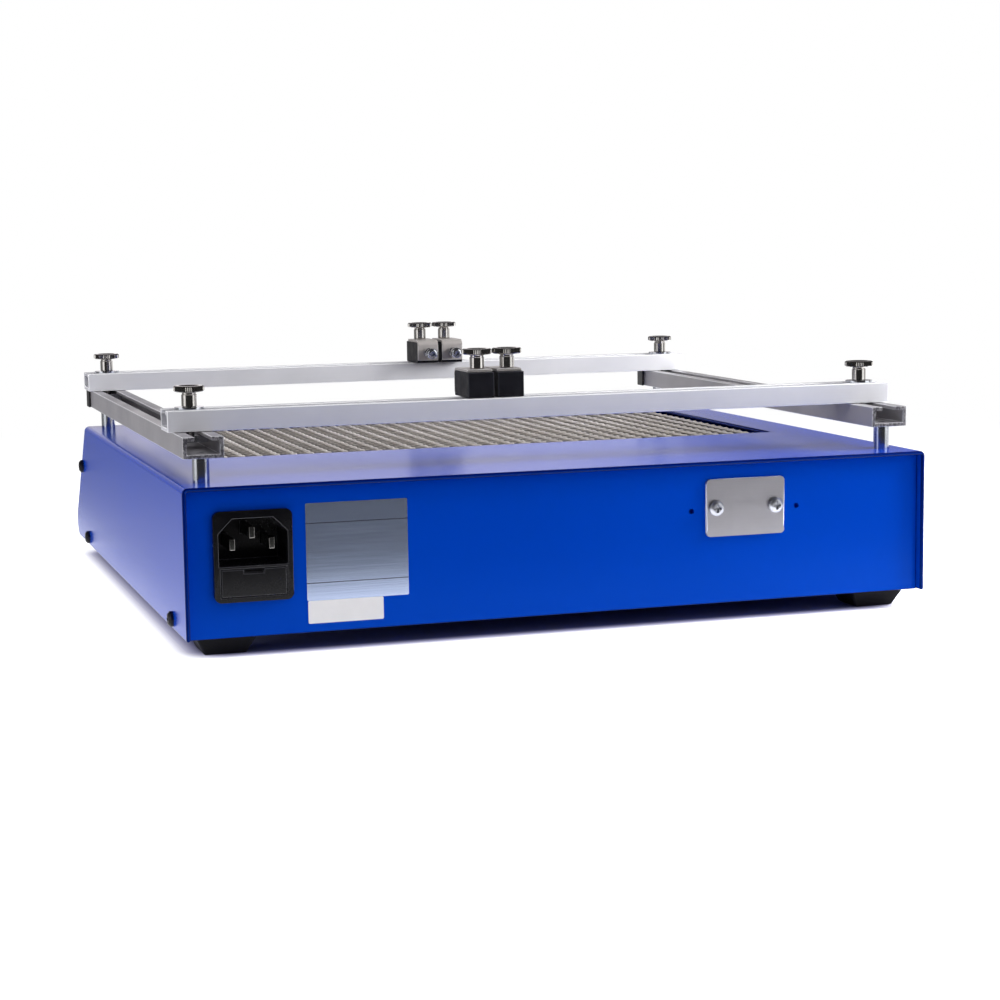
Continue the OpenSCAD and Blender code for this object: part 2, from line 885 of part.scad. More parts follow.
// Ring that carries the guard's edge
module guard_frame() {
    color("lightgray")
        translate([0, opening_y, frame_z])
            difference() {
                linear_extrude(frame_t)
                    round_rect(tray_rim_w, tray_rim_d, opening_r);
                translate([0, 0, -eps])
                    linear_extrude(frame_t + 2 * eps)
                        round_rect(opening_w, opening_d, opening_r);
            }
}

// Bright tray behind the heater tubes, with a rim all round
module reflector_tray() {
    color("silver")
        translate([0, opening_y, 0])
            difference() {
                union() {
                    translate([-tray_w / 2, -tray_d / 2, tray_floor])
                        cube([tray_w, tray_d, tray_h]);
                    translate([-tray_rim_w / 2, -tray_rim_d / 2, tray_top - tray_t])
                        cube([tray_rim_w, tray_rim_d, tray_t]);
                }
                translate([tray_t - tray_w / 2, tray_t - tray_d / 2, tray_floor + tray_t])
                    cube([tray_w - 2 * tray_t, tray_d - 2 * tray_t, tray_h]);
                for (y = tube_places)
                    translate([0, y - opening_y, tube_z])
                        peg_x(tube_d + 4 * seat, tray_w + 2);
            }
}

// Quartz tubes through both ends of the tray
module heater_tubes() {
    color("whitesmoke")
        for (y = tube_places)
            translate([0, y, tube_z])
                difference() {
                    peg_x(tube_d, tube_len);
                    peg_x(tube_d - 2 * tube_wall, tube_len + 1);
                }
}

// Heating coils in the tubes, drawn as their outer shape
module heater_coils() {
    color("sienna")
        for (y = tube_places)
            translate([0, y, tube_z])
                peg_x(coil_d, tube_len);
}

// Ceramic caps outside the tray that hold the tube ends and the coils
module heater_end_caps() {
    inside = (tube_len - tray_w) / 2 + seat;
    color("ivory")
        for (y = tube_places, s = [-1, 1])
            translate([s * (tray_w / 2 + run), y, tube_z])
                rotate([0, s * 90, 0])
                    difference() {
                        cylinder(d = cap_d, h = cap_len);
                        translate([0, 0, -eps])
                            cylinder(d = tube_d + 2 * seat, h = inside);
                    }
}

// Insulation board under the tray
module insulation_board() {
    color("white")
        translate([-tray_w / 2, opening_y - tray_d / 2, tray_floor - run - insulation_t])
            cube([tray_w, tray_d, insulation_t]);
}

// Legs that carry the tray's rim on the base
module tray_legs() {
    top = tray_top - tray_t - run;
    gap = 0.3;
    color("silver")
        for (x = [-leg_x, leg_x], y = [-1, 1])
            translate([x, opening_y + y * (tray_d / 2 + leg_d / 2 + gap), z_floor])
                cylinder(d = leg_d, h = top - z_floor);
}

// Thermal cut-out on the tray's rear wall
module thermal_cutout() {
    color("black")
        translate([0, cutout_y, cutout_z]) {
            rotate([-90, 0, 0])
                cylinder(d = cutout_d, h = cutout_h);
            for (x = [-cutout_tag_x, cutout_tag_x])
                translate([x - cutout_tag[0] / 2, cutout_h - eps, -cutout_tag[2] / 2])
                    cube([cutout_tag[0], cutout_tag[1] + eps, cutout_tag[2]]);
        }
}

// Control board, its standoffs and what is soldered on it
board_y = panel_y - sheet_t - flange_w - board_d / 2;
board_z = z_floor + standoff_h + seat / 2;
board_top = board_z + board_t + run;
hole_in = 5;
board_holes = [
    for (x = [-1, 1], y = [-1, 1])
        [board_x + x * (board_w / 2 - hole_in), board_y + y * (board_d / 2 - hole_in)]
];
terminal_size = [40, 10, 12];
terminal_at = [-40, 12];
capacitor_d = 12;
capacitor_h = 18;
capacitor_at = [32, 4];
module_size = [22, 12, 14];
module_at = [-2, -3];
module_lead = 16;
sink_size = [44, 14, 20];
sink_at = [-34, -22];
triac_size = [10, 4.5, 16];
triac_at = [-17, sink_at[1] + sink_size[1] + seat];
fin_count = 6;
fin_pitch = 6.4;
fin_gap = 4;
fin_depth = 10;
fin_root = 3;

module control_board() {
    color("darkgreen")
        difference() {
            translate([board_x - board_w / 2, board_y - board_d / 2, board_z])
                cube([board_w, board_d, board_t]);
            for (p = board_holes)
                translate([p[0], p[1], board_z - eps])
                    cylinder(d = screw_d + 2 * seat, h = board_t + 2 * eps);
        }
}

module board_standoffs() {
    color("silver")
        for (p = board_holes)
            translate([p[0], p[1], z_floor])
                cylinder(d = standoff_d, h = standoff_h);
}

// Terminal block, triac, capacitor and power module
module board_parts() {
    color("darkgreen")
        translate([board_x, board_y, board_top]) {
            translate(terminal_at)
                cube(terminal_size);
            translate(capacitor_at)
                cylinder(d = capacitor_d, h = capacitor_h);
            translate(module_at)
                cube(module_size);
            translate(triac_at)
                cube(triac_size);
        }
}

// Finned heat sink behind the triac
module heat_sink() {
    first = (sink_size[0] - (fin_count - 1) * fin_pitch - fin_gap) / 2;
    color("gray")
        translate([board_x + sink_at[0], board_y + sink_at[1], board_top])
            difference() {
                cube(sink_size);
                for (k = [0:fin_count - 1])
                    translate([first + k * fin_pitch, -eps, fin_root])
                        cube([fin_gap, fin_depth, sink_size[2]]);
            }
}

// Leads: each starts and ends square to the face that it meets
lead_gap = 0.2;
lead_side = inner_w / 2 - sheet_t - lead_d;
lead_low = z_floor + lead_d;
bus_x = cap_out + lead_gap + lead_d / 2;
first_tube = tube_places[0];
past_tubes = tube_places[tube_count - 1] + cap_d;
terminal_y = board_y + terminal_at[1] + terminal_size[1] / 2;
terminal_z = board_top + terminal_size[2] / 2;
module_x = board_x + module_at[0] + module_lead;
module_y = board_y + module_at[1];
module_z = board_top + module_size[2] / 2;
board_edge = board_x + board_w / 2;
board_mid_z = board_z + board_t / 2;
lead_routes = [
    // Inlet to the power switch
    [[inlet_x + contact_x, tag_y - lead_gap, contact_z], [inlet_x + contact_x, tag_y - 6, contact_z],
     [128, 96, 36], [lead_side, 84, 28], [lead_side, 66, lead_low], [lead_side, -70, lead_low],
     [lead_side - 6, -88, lead_low + 1], [switch_x + 5, -99, 17],
     front_point(switch_x, control_s, -switch_depth - 10),
     front_point(switch_x, control_s, -switch_depth - lead_gap)],
    // Inlet to the terminal block
    [[inlet_x - contact_x, tag_y - lead_gap, contact_z], [inlet_x - contact_x, tag_y - 6, contact_z],
     [106, 101, 37], [84, 100, 32], [40, 112, 30],
     [board_x + 10, terminal_y, terminal_z], [board_x + lead_gap, terminal_y, terminal_z]],
    // Right-hand ends of the tubes to the thermal cut-out
    [[bus_x, first_tube - 5, tube_z], [bus_x, opening_y, tube_z], [bus_x, past_tubes, tube_z],
     [118, 66, tube_z], [60, 76, tube_z], [14, 78, cutout_z],
     [cutout_tag_x, cutout_tag_y + 7, cutout_z], [cutout_tag_x, cutout_tag_y + lead_gap, cutout_z]],
    // Thermal cut-out to the power module
    [[-cutout_tag_x, cutout_tag_y + lead_gap, cutout_z], [-cutout_tag_x, cutout_tag_y + 6, cutout_z],
     [-9, 82, 38], [module_x, module_y - 8, module_z + 3],
     [module_x, module_y - 4, module_z], [module_x, module_y - lead_gap, module_z]],
    // Left-hand ends of the tubes to the terminal block
    [[-bus_x, first_tube - 5, tube_z], [-bus_x, opening_y, tube_z], [-bus_x, past_tubes, tube_z],
     [-118, 68, tube_z], [-98, 96, 34],
     [board_x + terminal_at[0] - 9, terminal_y, terminal_z],
     [board_x + terminal_at[0] - lead_gap, terminal_y, terminal_z]],
    // Control to the control board
    [front_point(knob_x, control_s, -pot_depth - lead_gap), front_point(knob_x, control_s, -pot_depth - 9),
     [54, -92, 14], [50, -80, lead_low], [44, 0, lead_low], [38, 62, lead_low],
     [34, 80, 15], [board_edge + 6, 84, board_mid_z], [board_edge + lead_gap, 84, board_mid_z]]
];

module wiring_loom() {
    color("firebrick")
        for (route = lead_routes)
            swept_lead(route, lead_d);
}

// Snap-in switch body with its bezel
module switch_housing() {
    back_w = switch_w - 2 * (bezel_lip + seat);
    back_len = switch_len - 2 * (bezel_lip + seat);
    well_w = switch_w - 2 * bezel_wall;
    color("black")
        on_front(switch_x, control_s)
            difference() {
                union() {
                    translate([0, 0, run])
                        linear_extrude(bezel_h)
                            round_rect(switch_w, switch_len, bezel_r);
                    translate([0, 0, -switch_depth])
                        linear_extrude(switch_depth + bezel_h / 2)
                            square([back_w, back_len], center = true);
                }
                translate([0, 0, -well_d])
                    linear_extrude(well_d + 2 * bezel_h)
                        square([well_w, switch_len - 2 * bezel_wall], center = true);
                peg_x(pivot_d + 2 * run, well_w + 2 * (pivot_stub + run));
            }
}

// Rocker on its pivot, resting in the off position
module switch_rocker() {
    half = switch_len / 2 - bezel_wall - 2 * rocker_gap;
    wide = switch_w - 2 * (bezel_wall + rocker_gap);
    crown = bezel_h + 0.3;
    raised = bezel_h + 1.6;
    color("black")
        on_front(switch_x, control_s)
            rotate([rocker_tilt, 0, 0]) {
                across(wide)
                    polygon([
                        [-half, -0.8], [-half * 0.45, -3.2], [0, -4.2], [half * 0.45, -3.2], [half, -0.8],
                        [half, raised], [0, crown], [-half, raised]
                    ]);
                peg_x(pivot_d, switch_w - 2 * bezel_wall + 2 * pivot_stub);
            }
}

// Potentiometer behind the panel, with its bush and nut
module potentiometer() {
    color("silver")
        on_front(knob_x, control_s)
            difference() {
                union() {
                    translate([0, 0, -pot_depth])
                        cylinder(d = pot_d, h = pot_h);
                    translate([0, 0, -sheet_t - 2 * run])
                        cylinder(d = shaft_d + 2 * bush_wall, h = sheet_t + bush_h);
                    translate([0, 0, run])
                        cylinder(d = shaft_d + 5, h = bush_h - 1, $fn = 6);
                }
                translate([0, 0, -sheet_t - shaft_in])
                    cylinder(d = shaft_d + 2 * run, h = sheet_t + shaft_in + bush_h + 1);
            }
}

// Shaft of the potentiometer
module control_shaft() {
    color("silver")
        on_front(knob_x, control_s)
            translate([0, 0, run - sheet_t - shaft_in])
                cylinder(d = shaft_d, h = knob_h + sheet_t + shaft_in - 1 - 2 * run);
}

// Round knob with a skirt and a pointer groove
module control_knob() {
    tall = knob_h - knob_foot + 1;
    color("black")
        on_front(knob_x, control_s)
            difference() {
                translate([0, 0, knob_foot])
                    rotate_extrude()
                        polygon([
                            [0, 0],
                            [knob_d / 2, 0],
                            [knob_d / 2, 2],
                            [knob_d * 0.42, 3],
                            [knob_d * 0.39, tall - 0.8],
                            [knob_d * 0.36, tall],
                            [0, tall]
                        ]);
                translate([0, 0, knob_foot - eps])
                    cylinder(d = shaft_d + 2 * run, h = tall - 2);
                translate([-0.6, knob_d * 0.12, knob_h + 0.5])
                    cube([1.2, knob_d / 2, 1]);
            }
}

// Pilot lamp with a domed lens
module pilot_lamp() {
    dome_d = lamp_d - 1.6;
    color("red")
        on_front(lamp_x, control_s)
            union() {
                translate([0, 0, run])
                    cylinder(d = lamp_d, h = lamp_rim);
                translate([0, 0, -lamp_depth])
                    cylinder(d = lamp_d - 2 * (bezel_lip + seat), h = lamp_depth + lamp_rim / 2);
                intersection() {
                    translate([0, 0, lamp_rim])
                        sphere(d = dome_d);
                    translate([0, 0, lamp_rim - seat])
                        cylinder(d = lamp_d, h = lamp_d);
                }
            }
}

// Round posts under the side rails
module holder_posts() {
    color("silver")
        for (p = post_places)
            translate([p[0], p[1], z_top + run / 2])
                difference() {
                    cylinder(d = post_d, h = post_h - run);
                    translate([0, 0, -eps])
                        cylinder(d = screw_d + 2 * seat, h = post_h);
                }
}

// Screws from inside the cover, through the posts into the rails
module post_screws() {
    color("silver")
        for (p = post_places)
            translate([p[0], p[1], z_under - run])
                mirror([0, 0, 1])
                    pan_screw(sheet_t + post_h + rail_t);
}

// Side rail with tapped holes over its posts
module side_rail(x) {
    color("lightgray")
        difference() {
            translate([x, 0, z_rail])
                along(rail_front_y, rail_len)
                    rail_section();
            for (y = [rear_y - post_rear, rear_y - post_front])
                translate([x, y, z_rail - 1])
                    cylinder(d = screw_d + 2 * run, h = rail_t + 2);
        }
}

module right_rail() {
    side_rail(rail_x);
}

module left_rail() {
    side_rail(-rail_x);
}

// Black caps over the front ends of the side rails
module rail_caps() {
    wall = 1;
    outer_w = rail_w + 2 * (wall + run);
    inner = rail_w + 2 * run;
    color("black")
        for (x = [-rail_x, rail_x])
            translate([x, rail_front_y - run - wall, z_rail])
                difference() {
                    translate([-outer_w / 2, 0, 0])
                        cube([outer_w, rail_cap_len, rail_h]);
                    translate([-inner / 2, wall, -1])
                        cube([inner, rail_cap_len, rail_h + 2]);
                }
}

// Cross bar with screw holes over the side rails
module cross_bar(y) {
    color("lightgray")
        difference() {
            translate([0, y, z_bar])
                across(bar_len)
                    rail_section();
            for (x = [-rail_x, rail_x])
                translate([x, y, z_bar - 1])
                    cylinder(d = screw_d + 4 * seat, h = rail_t + 2);
        }
}

module rear_bar() {
    cross_bar(rear_bar_y);
}

module front_bar() {
    cross_bar(front_bar_y);
}

// Slide nuts in the side rails and washers on top of a cross bar
module bar_hardware(y) {
    color("silver")
        for (x = [-rail_x, rail_x])
            translate([x, y, 0]) {
                translate([0, 0, rail_nut_z])
                    slide_nut(nut_w, nut_len);
                translate([0, 0, z_bar + rail_h])
                    difference() {
                        cylinder(d = washer_d, h = washer_t);
                        translate([0, 0, -eps])
                            cylinder(d = screw_d + 2 * seat, h = washer_t + 2 * eps);
                    }
            }
}

module rear_bar_hardware() {
    bar_hardware(rear_bar_y);
}

module front_bar_hardware() {
    bar_hardware(front_bar_y);
}

// Thumbscrew of a cross bar
module bar_screw(x, y) {
    translate([x, y, bar_seat_z + run])
        thumbscrew(bar_seat_z - rail_nut_z);
}

// Place on a cross bar: local +Y points from the bar towards the board
module on_bar(x, y, towards) {
    translate([x, y, z_clamp])
        mirror([0, towards < 0 ? 1 : 0, 0])
            children();
}

// Rectangle in Y and Z whose far upper corner is rounded by r
module bent_corner(y0, y1, z0, z1, r) {
    translate([y0, z0])
        square([y1 - r - y0, z1 - z0]);
    translate([y0, z0])
        square([y1 - y0, z1 - r - z0]);
    translate([y1 - r, z1 - r])
        circle(r);
}

// Block of a board clamp
module clamp_block(x, y, towards) {
    color("black")
        on_bar(x, y, towards)
            difference() {
                across(clamp_w)
                    bent_corner(-clamp_back, clamp_d - clamp_back, 0, clamp_h, jaw_bend);
                translate([0, 0, -eps])
                    cylinder(d = screw_d + 2 * seat, h = clamp_h + 2 * eps);
            }
}

// Bent jaw plate over the block's top and inner face
module clamp_jaw(x, y, towards) {
    rear = -collar_d / 2 - 0.5;
    over = clamp_h + run;
    bend = jaw_bend + run;
    color("lightgray")
        on_bar(x, y, towards)
            difference() {
                across(clamp_w - 2 * jaw_side)
                    difference() {
                        bent_corner(rear, jaw_face + jaw_t, jaw_low, over + jaw_t, bend + jaw_t);
                        bent_corner(rear - 1, jaw_face, jaw_low - 1, over, bend);
                    }
                translate([0, 0, clamp_h - 1])
                    cylinder(d = screw_d + 2 * seat, h = jaw_t + 3);
                translate([0, jaw_face, pin_up])
                    peg_y(pin_d / 2 + 2 * run, 4 * jaw_t);
            }
}

// Grooved board pin and the slide nut of a clamp
module clamp_hardware(x, y, towards) {
    r = pin_d / 2;
    neck = r * 0.7;
    groove = 2.4;
    slant = r * 0.15;
    hole = r * 0.45;
    hole_d = 1.8;
    edge = 0.4;
    color("silver") {
        on_bar(x, y, towards)
            translate([0, jaw_face + jaw_t + run, pin_up])
                rotate([-90, 0, 0])
                    rotate_extrude()
                        polygon([
                            [0, -jaw_t],
                            [r / 2, -jaw_t],
                            [r / 2, 0],
                            [r, 0],
                            [r, groove],
                            [neck, groove + slant],
                            [neck, groove + groove_w],
                            [r, groove + groove_w + slant],
                            [r, pin_len - edge],
                            [r - edge, pin_len],
                            [hole, pin_len],
                            [hole, pin_len - hole_d],
                            [0, pin_len - hole_d]
                        ]);
        translate([x, y, bar_nut_z])
            slide_nut(nut_len, nut_w);
    }
}

// Thumbscrew of a board clamp
module clamp_screw(x, y) {
    translate([x, y, clamp_seat_z + run])
        thumbscrew(clamp_seat_z - bar_nut_z);
}

top_cover();
base_pan();
front_panel();
rubber_feet();
cover_screws();
inlet_housing();
inlet_contacts();
fuse_drawer();
fuse();
blank_plate();
blank_plate_screws();
guard_wires();
guard_frame();
reflector_tray();
heater_tubes();
heater_coils();
heater_end_caps();
insulation_board();
tray_legs();
thermal_cutout();
control_board();
board_standoffs();
board_parts();
heat_sink();
wiring_loom();
switch_housing();
switch_rocker();
control_knob();
control_shaft();
potentiometer();
pilot_lamp();
holder_posts();
post_screws();
right_rail();
left_rail();
rail_caps();
rear_bar();
rear_bar_hardware();
front_bar();
front_bar_hardware();
bar_screw(rail_x, rear_bar_y);  // rear_bar_screw_right
bar_screw(-rail_x, rear_bar_y);  // rear_bar_screw_left
bar_screw(rail_x, front_bar_y);  // front_bar_screw_right
bar_screw(-rail_x, front_bar_y);  // front_bar_screw_left
clamp_block(rear_right_x, rear_bar_y, -1);  // rear_clamp_right_block
clamp_jaw(rear_right_x, rear_bar_y, -1);  // rear_clamp_right_jaw
clamp_hardware(rear_right_x, rear_bar_y, -1);  // rear_clamp_right_hardware
clamp_screw(rear_right_x, rear_bar_y);  // rear_clamp_right_screw
clamp_block(rear_left_x, rear_bar_y, -1);  // rear_clamp_left_block
clamp_jaw(rear_left_x, rear_bar_y, -1);  // rear_clamp_left_jaw
clamp_hardware(rear_left_x, rear_bar_y, -1);  // rear_clamp_left_hardware
clamp_screw(rear_left_x, rear_bar_y);  // rear_clamp_left_screw
clamp_block(front_right_x, front_bar_y, 1);  // front_clamp_right_block
clamp_jaw(front_right_x, front_bar_y, 1);  // front_clamp_right_jaw
clamp_hardware(front_right_x, front_bar_y, 1);  // front_clamp_right_hardware
clamp_screw(front_right_x, front_bar_y);  // front_clamp_right_screw
clamp_block(front_left_x, front_bar_y, 1);  // front_clamp_left_block
clamp_jaw(front_left_x, front_bar_y, 1);  // front_clamp_left_jaw
clamp_hardware(front_left_x, front_bar_y, 1);  // front_clamp_left_hardware
clamp_screw(front_left_x, front_bar_y);  // front_clamp_left_screw
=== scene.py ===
"""Looks of the bench preheater: finishes, fine detail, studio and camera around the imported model."""
import json
import math

import bmesh
import bpy
from mathutils import Matrix, Vector


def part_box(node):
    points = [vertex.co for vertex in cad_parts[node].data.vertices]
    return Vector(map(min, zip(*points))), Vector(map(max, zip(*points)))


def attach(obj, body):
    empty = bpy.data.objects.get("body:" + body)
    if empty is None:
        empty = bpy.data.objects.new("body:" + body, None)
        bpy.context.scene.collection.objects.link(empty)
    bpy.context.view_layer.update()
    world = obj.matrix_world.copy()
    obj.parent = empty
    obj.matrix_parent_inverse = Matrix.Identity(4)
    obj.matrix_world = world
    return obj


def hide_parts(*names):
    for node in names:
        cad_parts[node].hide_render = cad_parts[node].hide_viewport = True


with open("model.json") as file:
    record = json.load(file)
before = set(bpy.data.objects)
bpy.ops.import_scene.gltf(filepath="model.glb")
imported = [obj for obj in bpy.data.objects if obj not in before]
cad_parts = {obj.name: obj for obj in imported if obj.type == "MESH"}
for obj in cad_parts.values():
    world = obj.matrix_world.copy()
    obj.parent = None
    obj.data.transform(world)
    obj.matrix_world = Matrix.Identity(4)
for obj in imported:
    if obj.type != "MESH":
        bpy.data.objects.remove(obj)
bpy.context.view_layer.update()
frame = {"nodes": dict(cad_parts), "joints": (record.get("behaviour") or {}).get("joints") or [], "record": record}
nodes = frame["nodes"]
scene = bpy.context.scene
slot_of = {part["node"]: part["material_slot"] for part in frame["record"]["subparts"]}
body_of = {}
for body, members in frame["record"]["behaviour"]["bodies"].items():
    for member in members:
        body_of[member] = body
joint_of = {joint["name"]: joint for joint in frame["joints"]}

MM = 0.001
MERGE = 1e-6
UP = Vector((0, 0, 1))
WIRE_PITCH = 7


# Finishes

class Value:
    """A number that changes over a surface; sums and products of it add Math nodes."""

    def __init__(self, finish, socket):
        self.finish = finish
        self.socket = socket

    def math(self, operation, first, second):
        socket = self.finish.node("ShaderNodeMath", {"operation": operation}, {0: first, 1: second})
        return Value(self.finish, socket)

    def __add__(self, other):
        return self.math("ADD", self, other)

    def __radd__(self, other):
        return self.math("ADD", other, self)

    def __sub__(self, other):
        return self.math("SUBTRACT", self, other)

    def __rsub__(self, other):
        return self.math("SUBTRACT", other, self)

    def __mul__(self, other):
        return self.math("MULTIPLY", self, other)

    def __rmul__(self, other):
        return self.math("MULTIPLY", other, self)

    def __gt__(self, other):
        return self.math("GREATER_THAN", self, other)

    def __lt__(self, other):
        return self.math("LESS_THAN", self, other)


class Nodes:
    """A node tree that is filled one node at a time."""

    def __init__(self, tree):
        self.tree = tree

    def link(self, value, socket):
        if isinstance(value, Value):
            value = value.socket
        if isinstance(value, bpy.types.NodeSocket):
            self.tree.links.new(value, socket)
        else:
            socket.default_value = value

    def node(self, kind, settings=None, sockets=None, output=0):
        made = self.tree.nodes.new(kind)
        for name, setting in (settings or {}).items():
            setattr(made, name, setting)
        for name, value in (sockets or {}).items():
            self.link(value, made.inputs[name])
        return made.outputs[output]

    def mix(self, share, first, second):
        settings = {"data_type": "RGBA", "clamp_factor": True}
        return self.node("ShaderNodeMix", settings, {0: share, 6: first, 7: second}, output=2)

    def fade(self, value, low, high):
        """0 below low, 1 above high, and a smooth change between them."""
        settings = {"interpolation_type": "SMOOTHSTEP"}
        sockets = {"Value": value, "From Min": low, "From Max": high}
        return Value(self, self.node("ShaderNodeMapRange", settings, sockets))


class Finish(Nodes):
    """A material on Object coordinates, with its constants on the shader's own sockets."""

    def __init__(self, name, constants):
        self.material = bpy.data.materials.new(name)
        self.material.use_nodes = True
        super().__init__(self.material.node_tree)
        self.shader = self.tree.nodes["Principled BSDF"]
        self.place = self.node("ShaderNodeTexCoord", output="Object")
        for socket, value in constants.items():
            self.shader.inputs[socket].default_value = value

    def feed(self, socket, value):
        self.link(value, self.shader.inputs[socket])

    def axis(self, name):
        return Value(self, self.node("ShaderNodeSeparateXYZ", None, {0: self.place}, output=name))

    def noise(self, scale, detail=2.0, stretch=(1, 1, 1)):
        spot = self.node("ShaderNodeMapping", None, {"Vector": self.place, "Scale": stretch})
        sockets = {"Vector": spot, "Scale": scale, "Detail": detail}
        return Value(self, self.node("ShaderNodeTexNoise", None, sockets))

    def patches(self, scale=45):
        """Broad, soft patches from 0 to 1."""
        return self.fade(self.noise(scale, 4.0), 0.3, 0.7)

    def attribute(self, name):
        return Value(self, self.node("ShaderNodeAttribute", {"attribute_name": name}, output="Fac"))

    def bump(self, height, depth, strength=1.0):
        """Raise the surface by a height from 0 to 1 times a depth in millimetres."""
        sockets = {"Height": height, "Distance": depth * MM, "Strength": strength}
        self.feed("Normal", self.node("ShaderNodeBump", None, sockets))


def rgb(red, green, blue):
    return (red, green, blue, 1.0)


def sawn_ends(made, shade, axis, node):
    """Rough saw marks on the two ends of a length of stock, darkened towards near-black as painted shade."""
    low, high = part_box(node)
    way = "XYZ".index(axis)
    along = made.axis(axis)
    skin = 0.1 * MM
    cut = (along < low[way] + skin) + (along > high[way] - skin)
    marks = made.fade(made.noise(1900, 3.0, (1, 1, 0.5)), 0.35, 0.65)
    return made.mix(cut * (0.3 + 0.6 * marks), shade, rgb(0.03, 0.03, 0.035))


def surface(name, colour, mottle, rough, grain, depth, patch=45, spread=0.08, edge=None, stretch=(1, 1, 1),
            sawn=None, **shader):
    """A finish whose colour and gloss vary in patches, with a fine grain and a paler colour on its eased edges as
    a painted highlight.

    patch and grain are how fine the patches and the grain are, spread is how far the gloss varies and
    depth is the grain's depth in millimetres.
    """
    made = Finish(name, {socket.replace("_", " "): value for socket, value in shader.items()})
    patches = made.patches(patch)
    lines = made.noise(grain, 3.0, stretch)
    shade = made.mix(patches * 0.7 + lines * 0.3, colour, mottle)
    # painted highlight: the eased edges take the paler edge colour
    if edge:
        shade = made.mix(made.attribute("eased_edge"), shade, edge)
    # the end faces get saw marks and near-black painted shade
    if sawn:
        shade = sawn_ends(made, shade, *sawn)
    made.feed("Base Color", shade)
    made.feed("Roughness", rough + spread * (patches - 0.5) + spread * (lines - 0.5))
    made.bump(lines, depth)
    return made


def metal(name, colour, mottle, rough, grain, depth, metallic=1.0, **options):
    return surface(name, colour, mottle, rough, grain, depth, Metallic=metallic, **options)


def blue_paint():
    """Gloss powder coat: fine orange peel, a trace of dust, and eased cut edges darkened to near-black navy as
    painted shade.
    """
    made = Finish("blue_paint", {"IOR": 1.4, "Specular Tint": rgb(0.04, 0.25, 1.0)})
    cloud = made.noise(14, 3.0)
    peel = made.noise(620, 2.0)
    dust = made.fade(made.noise(2600, 1.0), 0.74, 0.82)
    shade = made.mix(cloud, rgb(0.0, 0.04, 0.38), rgb(0.0, 0.046, 0.43))
    # painted shade: the eased cut edges are mixed to a near-black navy, as in the shaded gap round the rear panel
    shade = made.mix(made.attribute("eased_edge"), shade, rgb(0.0, 0.005, 0.085))
    made.feed("Base Color", made.mix(dust * 0.04, shade, rgb(0.3, 0.4, 0.7)))
    made.feed("Roughness", 0.17 + 0.06 * cloud + 0.1 * dust)
    made.bump(peel, 0.02, 0.5)
    return made


def quartz():
    """Slightly milky tube glass with drawing lines along its length."""
    made = Finish("quartz", {"IOR": 1.46, "Transmission Weight": 0.92})
    lines = made.noise(900, 2.0, (0.02, 1, 1))
    made.feed("Base Color", made.mix(lines, rgb(0.9, 0.9, 0.88), rgb(0.98, 0.98, 0.97)))
    made.feed("Roughness", 0.04 + 0.14 * lines)
    made.bump(lines, 0.02)
    return made


def fuse_body():
    """Ceramic tube with plated end caps."""
    low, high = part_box("fuse")
    cap_length = 5 * MM
    size = high - low
    lies = max(range(3), key=lambda way: size[way])
    made = Finish("fuse_body", {})
    across = made.axis("XYZ"[lies])
    ends = (across < low[lies] + cap_length) + (across > high[lies] - cap_length)
    grain = made.noise(1200)
    made.feed("Base Color", made.mix(ends, rgb(0.8, 0.78, 0.72), rgb(0.7, 0.69, 0.66)))
    made.feed("Metallic", ends)
    made.feed("Roughness", 0.5 - 0.25 * ends + 0.1 * grain)
    made.bump(grain, 0.01)
    return made


def circuit_board():
    """Green lacquer over copper tracks on a coarse grid, with tinned pads."""
    made = Finish("circuit_board", {})
    sockets = {"Vector": made.place, "Scale": 160.0}
    cells = Value(made, made.node("ShaderNodeTexVoronoi", {"distance": "MANHATTAN"}, sockets))
    track = made.fade(cells, 0.42, 0.45)
    pad = 1 - made.fade(cells, 0.07, 0.09)
    grain = made.noise(2400)
    lacquer = made.mix(track, rgb(0.015, 0.11, 0.05), rgb(0.03, 0.2, 0.09))
    made.feed("Base Color", made.mix(pad, lacquer, rgb(0.62, 0.62, 0.6)))
    made.feed("Metallic", pad)
    made.feed("Roughness", 0.34 + 0.1 * grain)
    made.bump(track + pad, 0.04)
    return made


def foil_label():
    """Brushed silver foil, bare but for two thin rules."""
    made = Finish("foil_label", {})
    brush = made.noise(1500, 3.0, (0.02, 1, 1))
    height = made.axis("Z")
    thick = 0.3 * MM
    rule = 0
    for line in (24.3 * MM, 45.5 * MM):
        rule = rule + (height > line) * (height < line + thick)
    silver = made.mix(brush, rgb(0.39, 0.47, 0.64), rgb(0.49, 0.57, 0.77))
    made.feed("Base Color", made.mix(rule, silver, rgb(0.03, 0.03, 0.04)))
    made.feed("Metallic", 0.82 - 0.82 * rule)
    made.feed("Roughness", 0.1 + 0.1 * brush)
    made.bump(brush, 0.006)
    return made


def plate_steel():
    """Brushed plate steel whose eased edges are painted near-white and hardly metallic: a painted highlight."""
    made = Finish("plate_steel", {})
    painted_edge_highlight = made.attribute("eased_edge")
    brush = made.noise(1900, 3.0, (0.03, 1, 1))
    patches = made.patches()
    face = made.mix(patches * 0.7 + brush * 0.3, rgb(0.54, 0.53, 0.56), rgb(0.45, 0.44, 0.47))
    # painted highlight: the eased edges turn near-white
    made.feed("Base Color", made.mix(painted_edge_highlight, face, rgb(0.95, 0.95, 0.97)))
    made.feed("Metallic", 1 - 0.95 * painted_edge_highlight)
    made.feed("Roughness", 0.32 + 0.08 * patches + 0.08 * brush)
    made.bump(brush, 0.01)
    return made


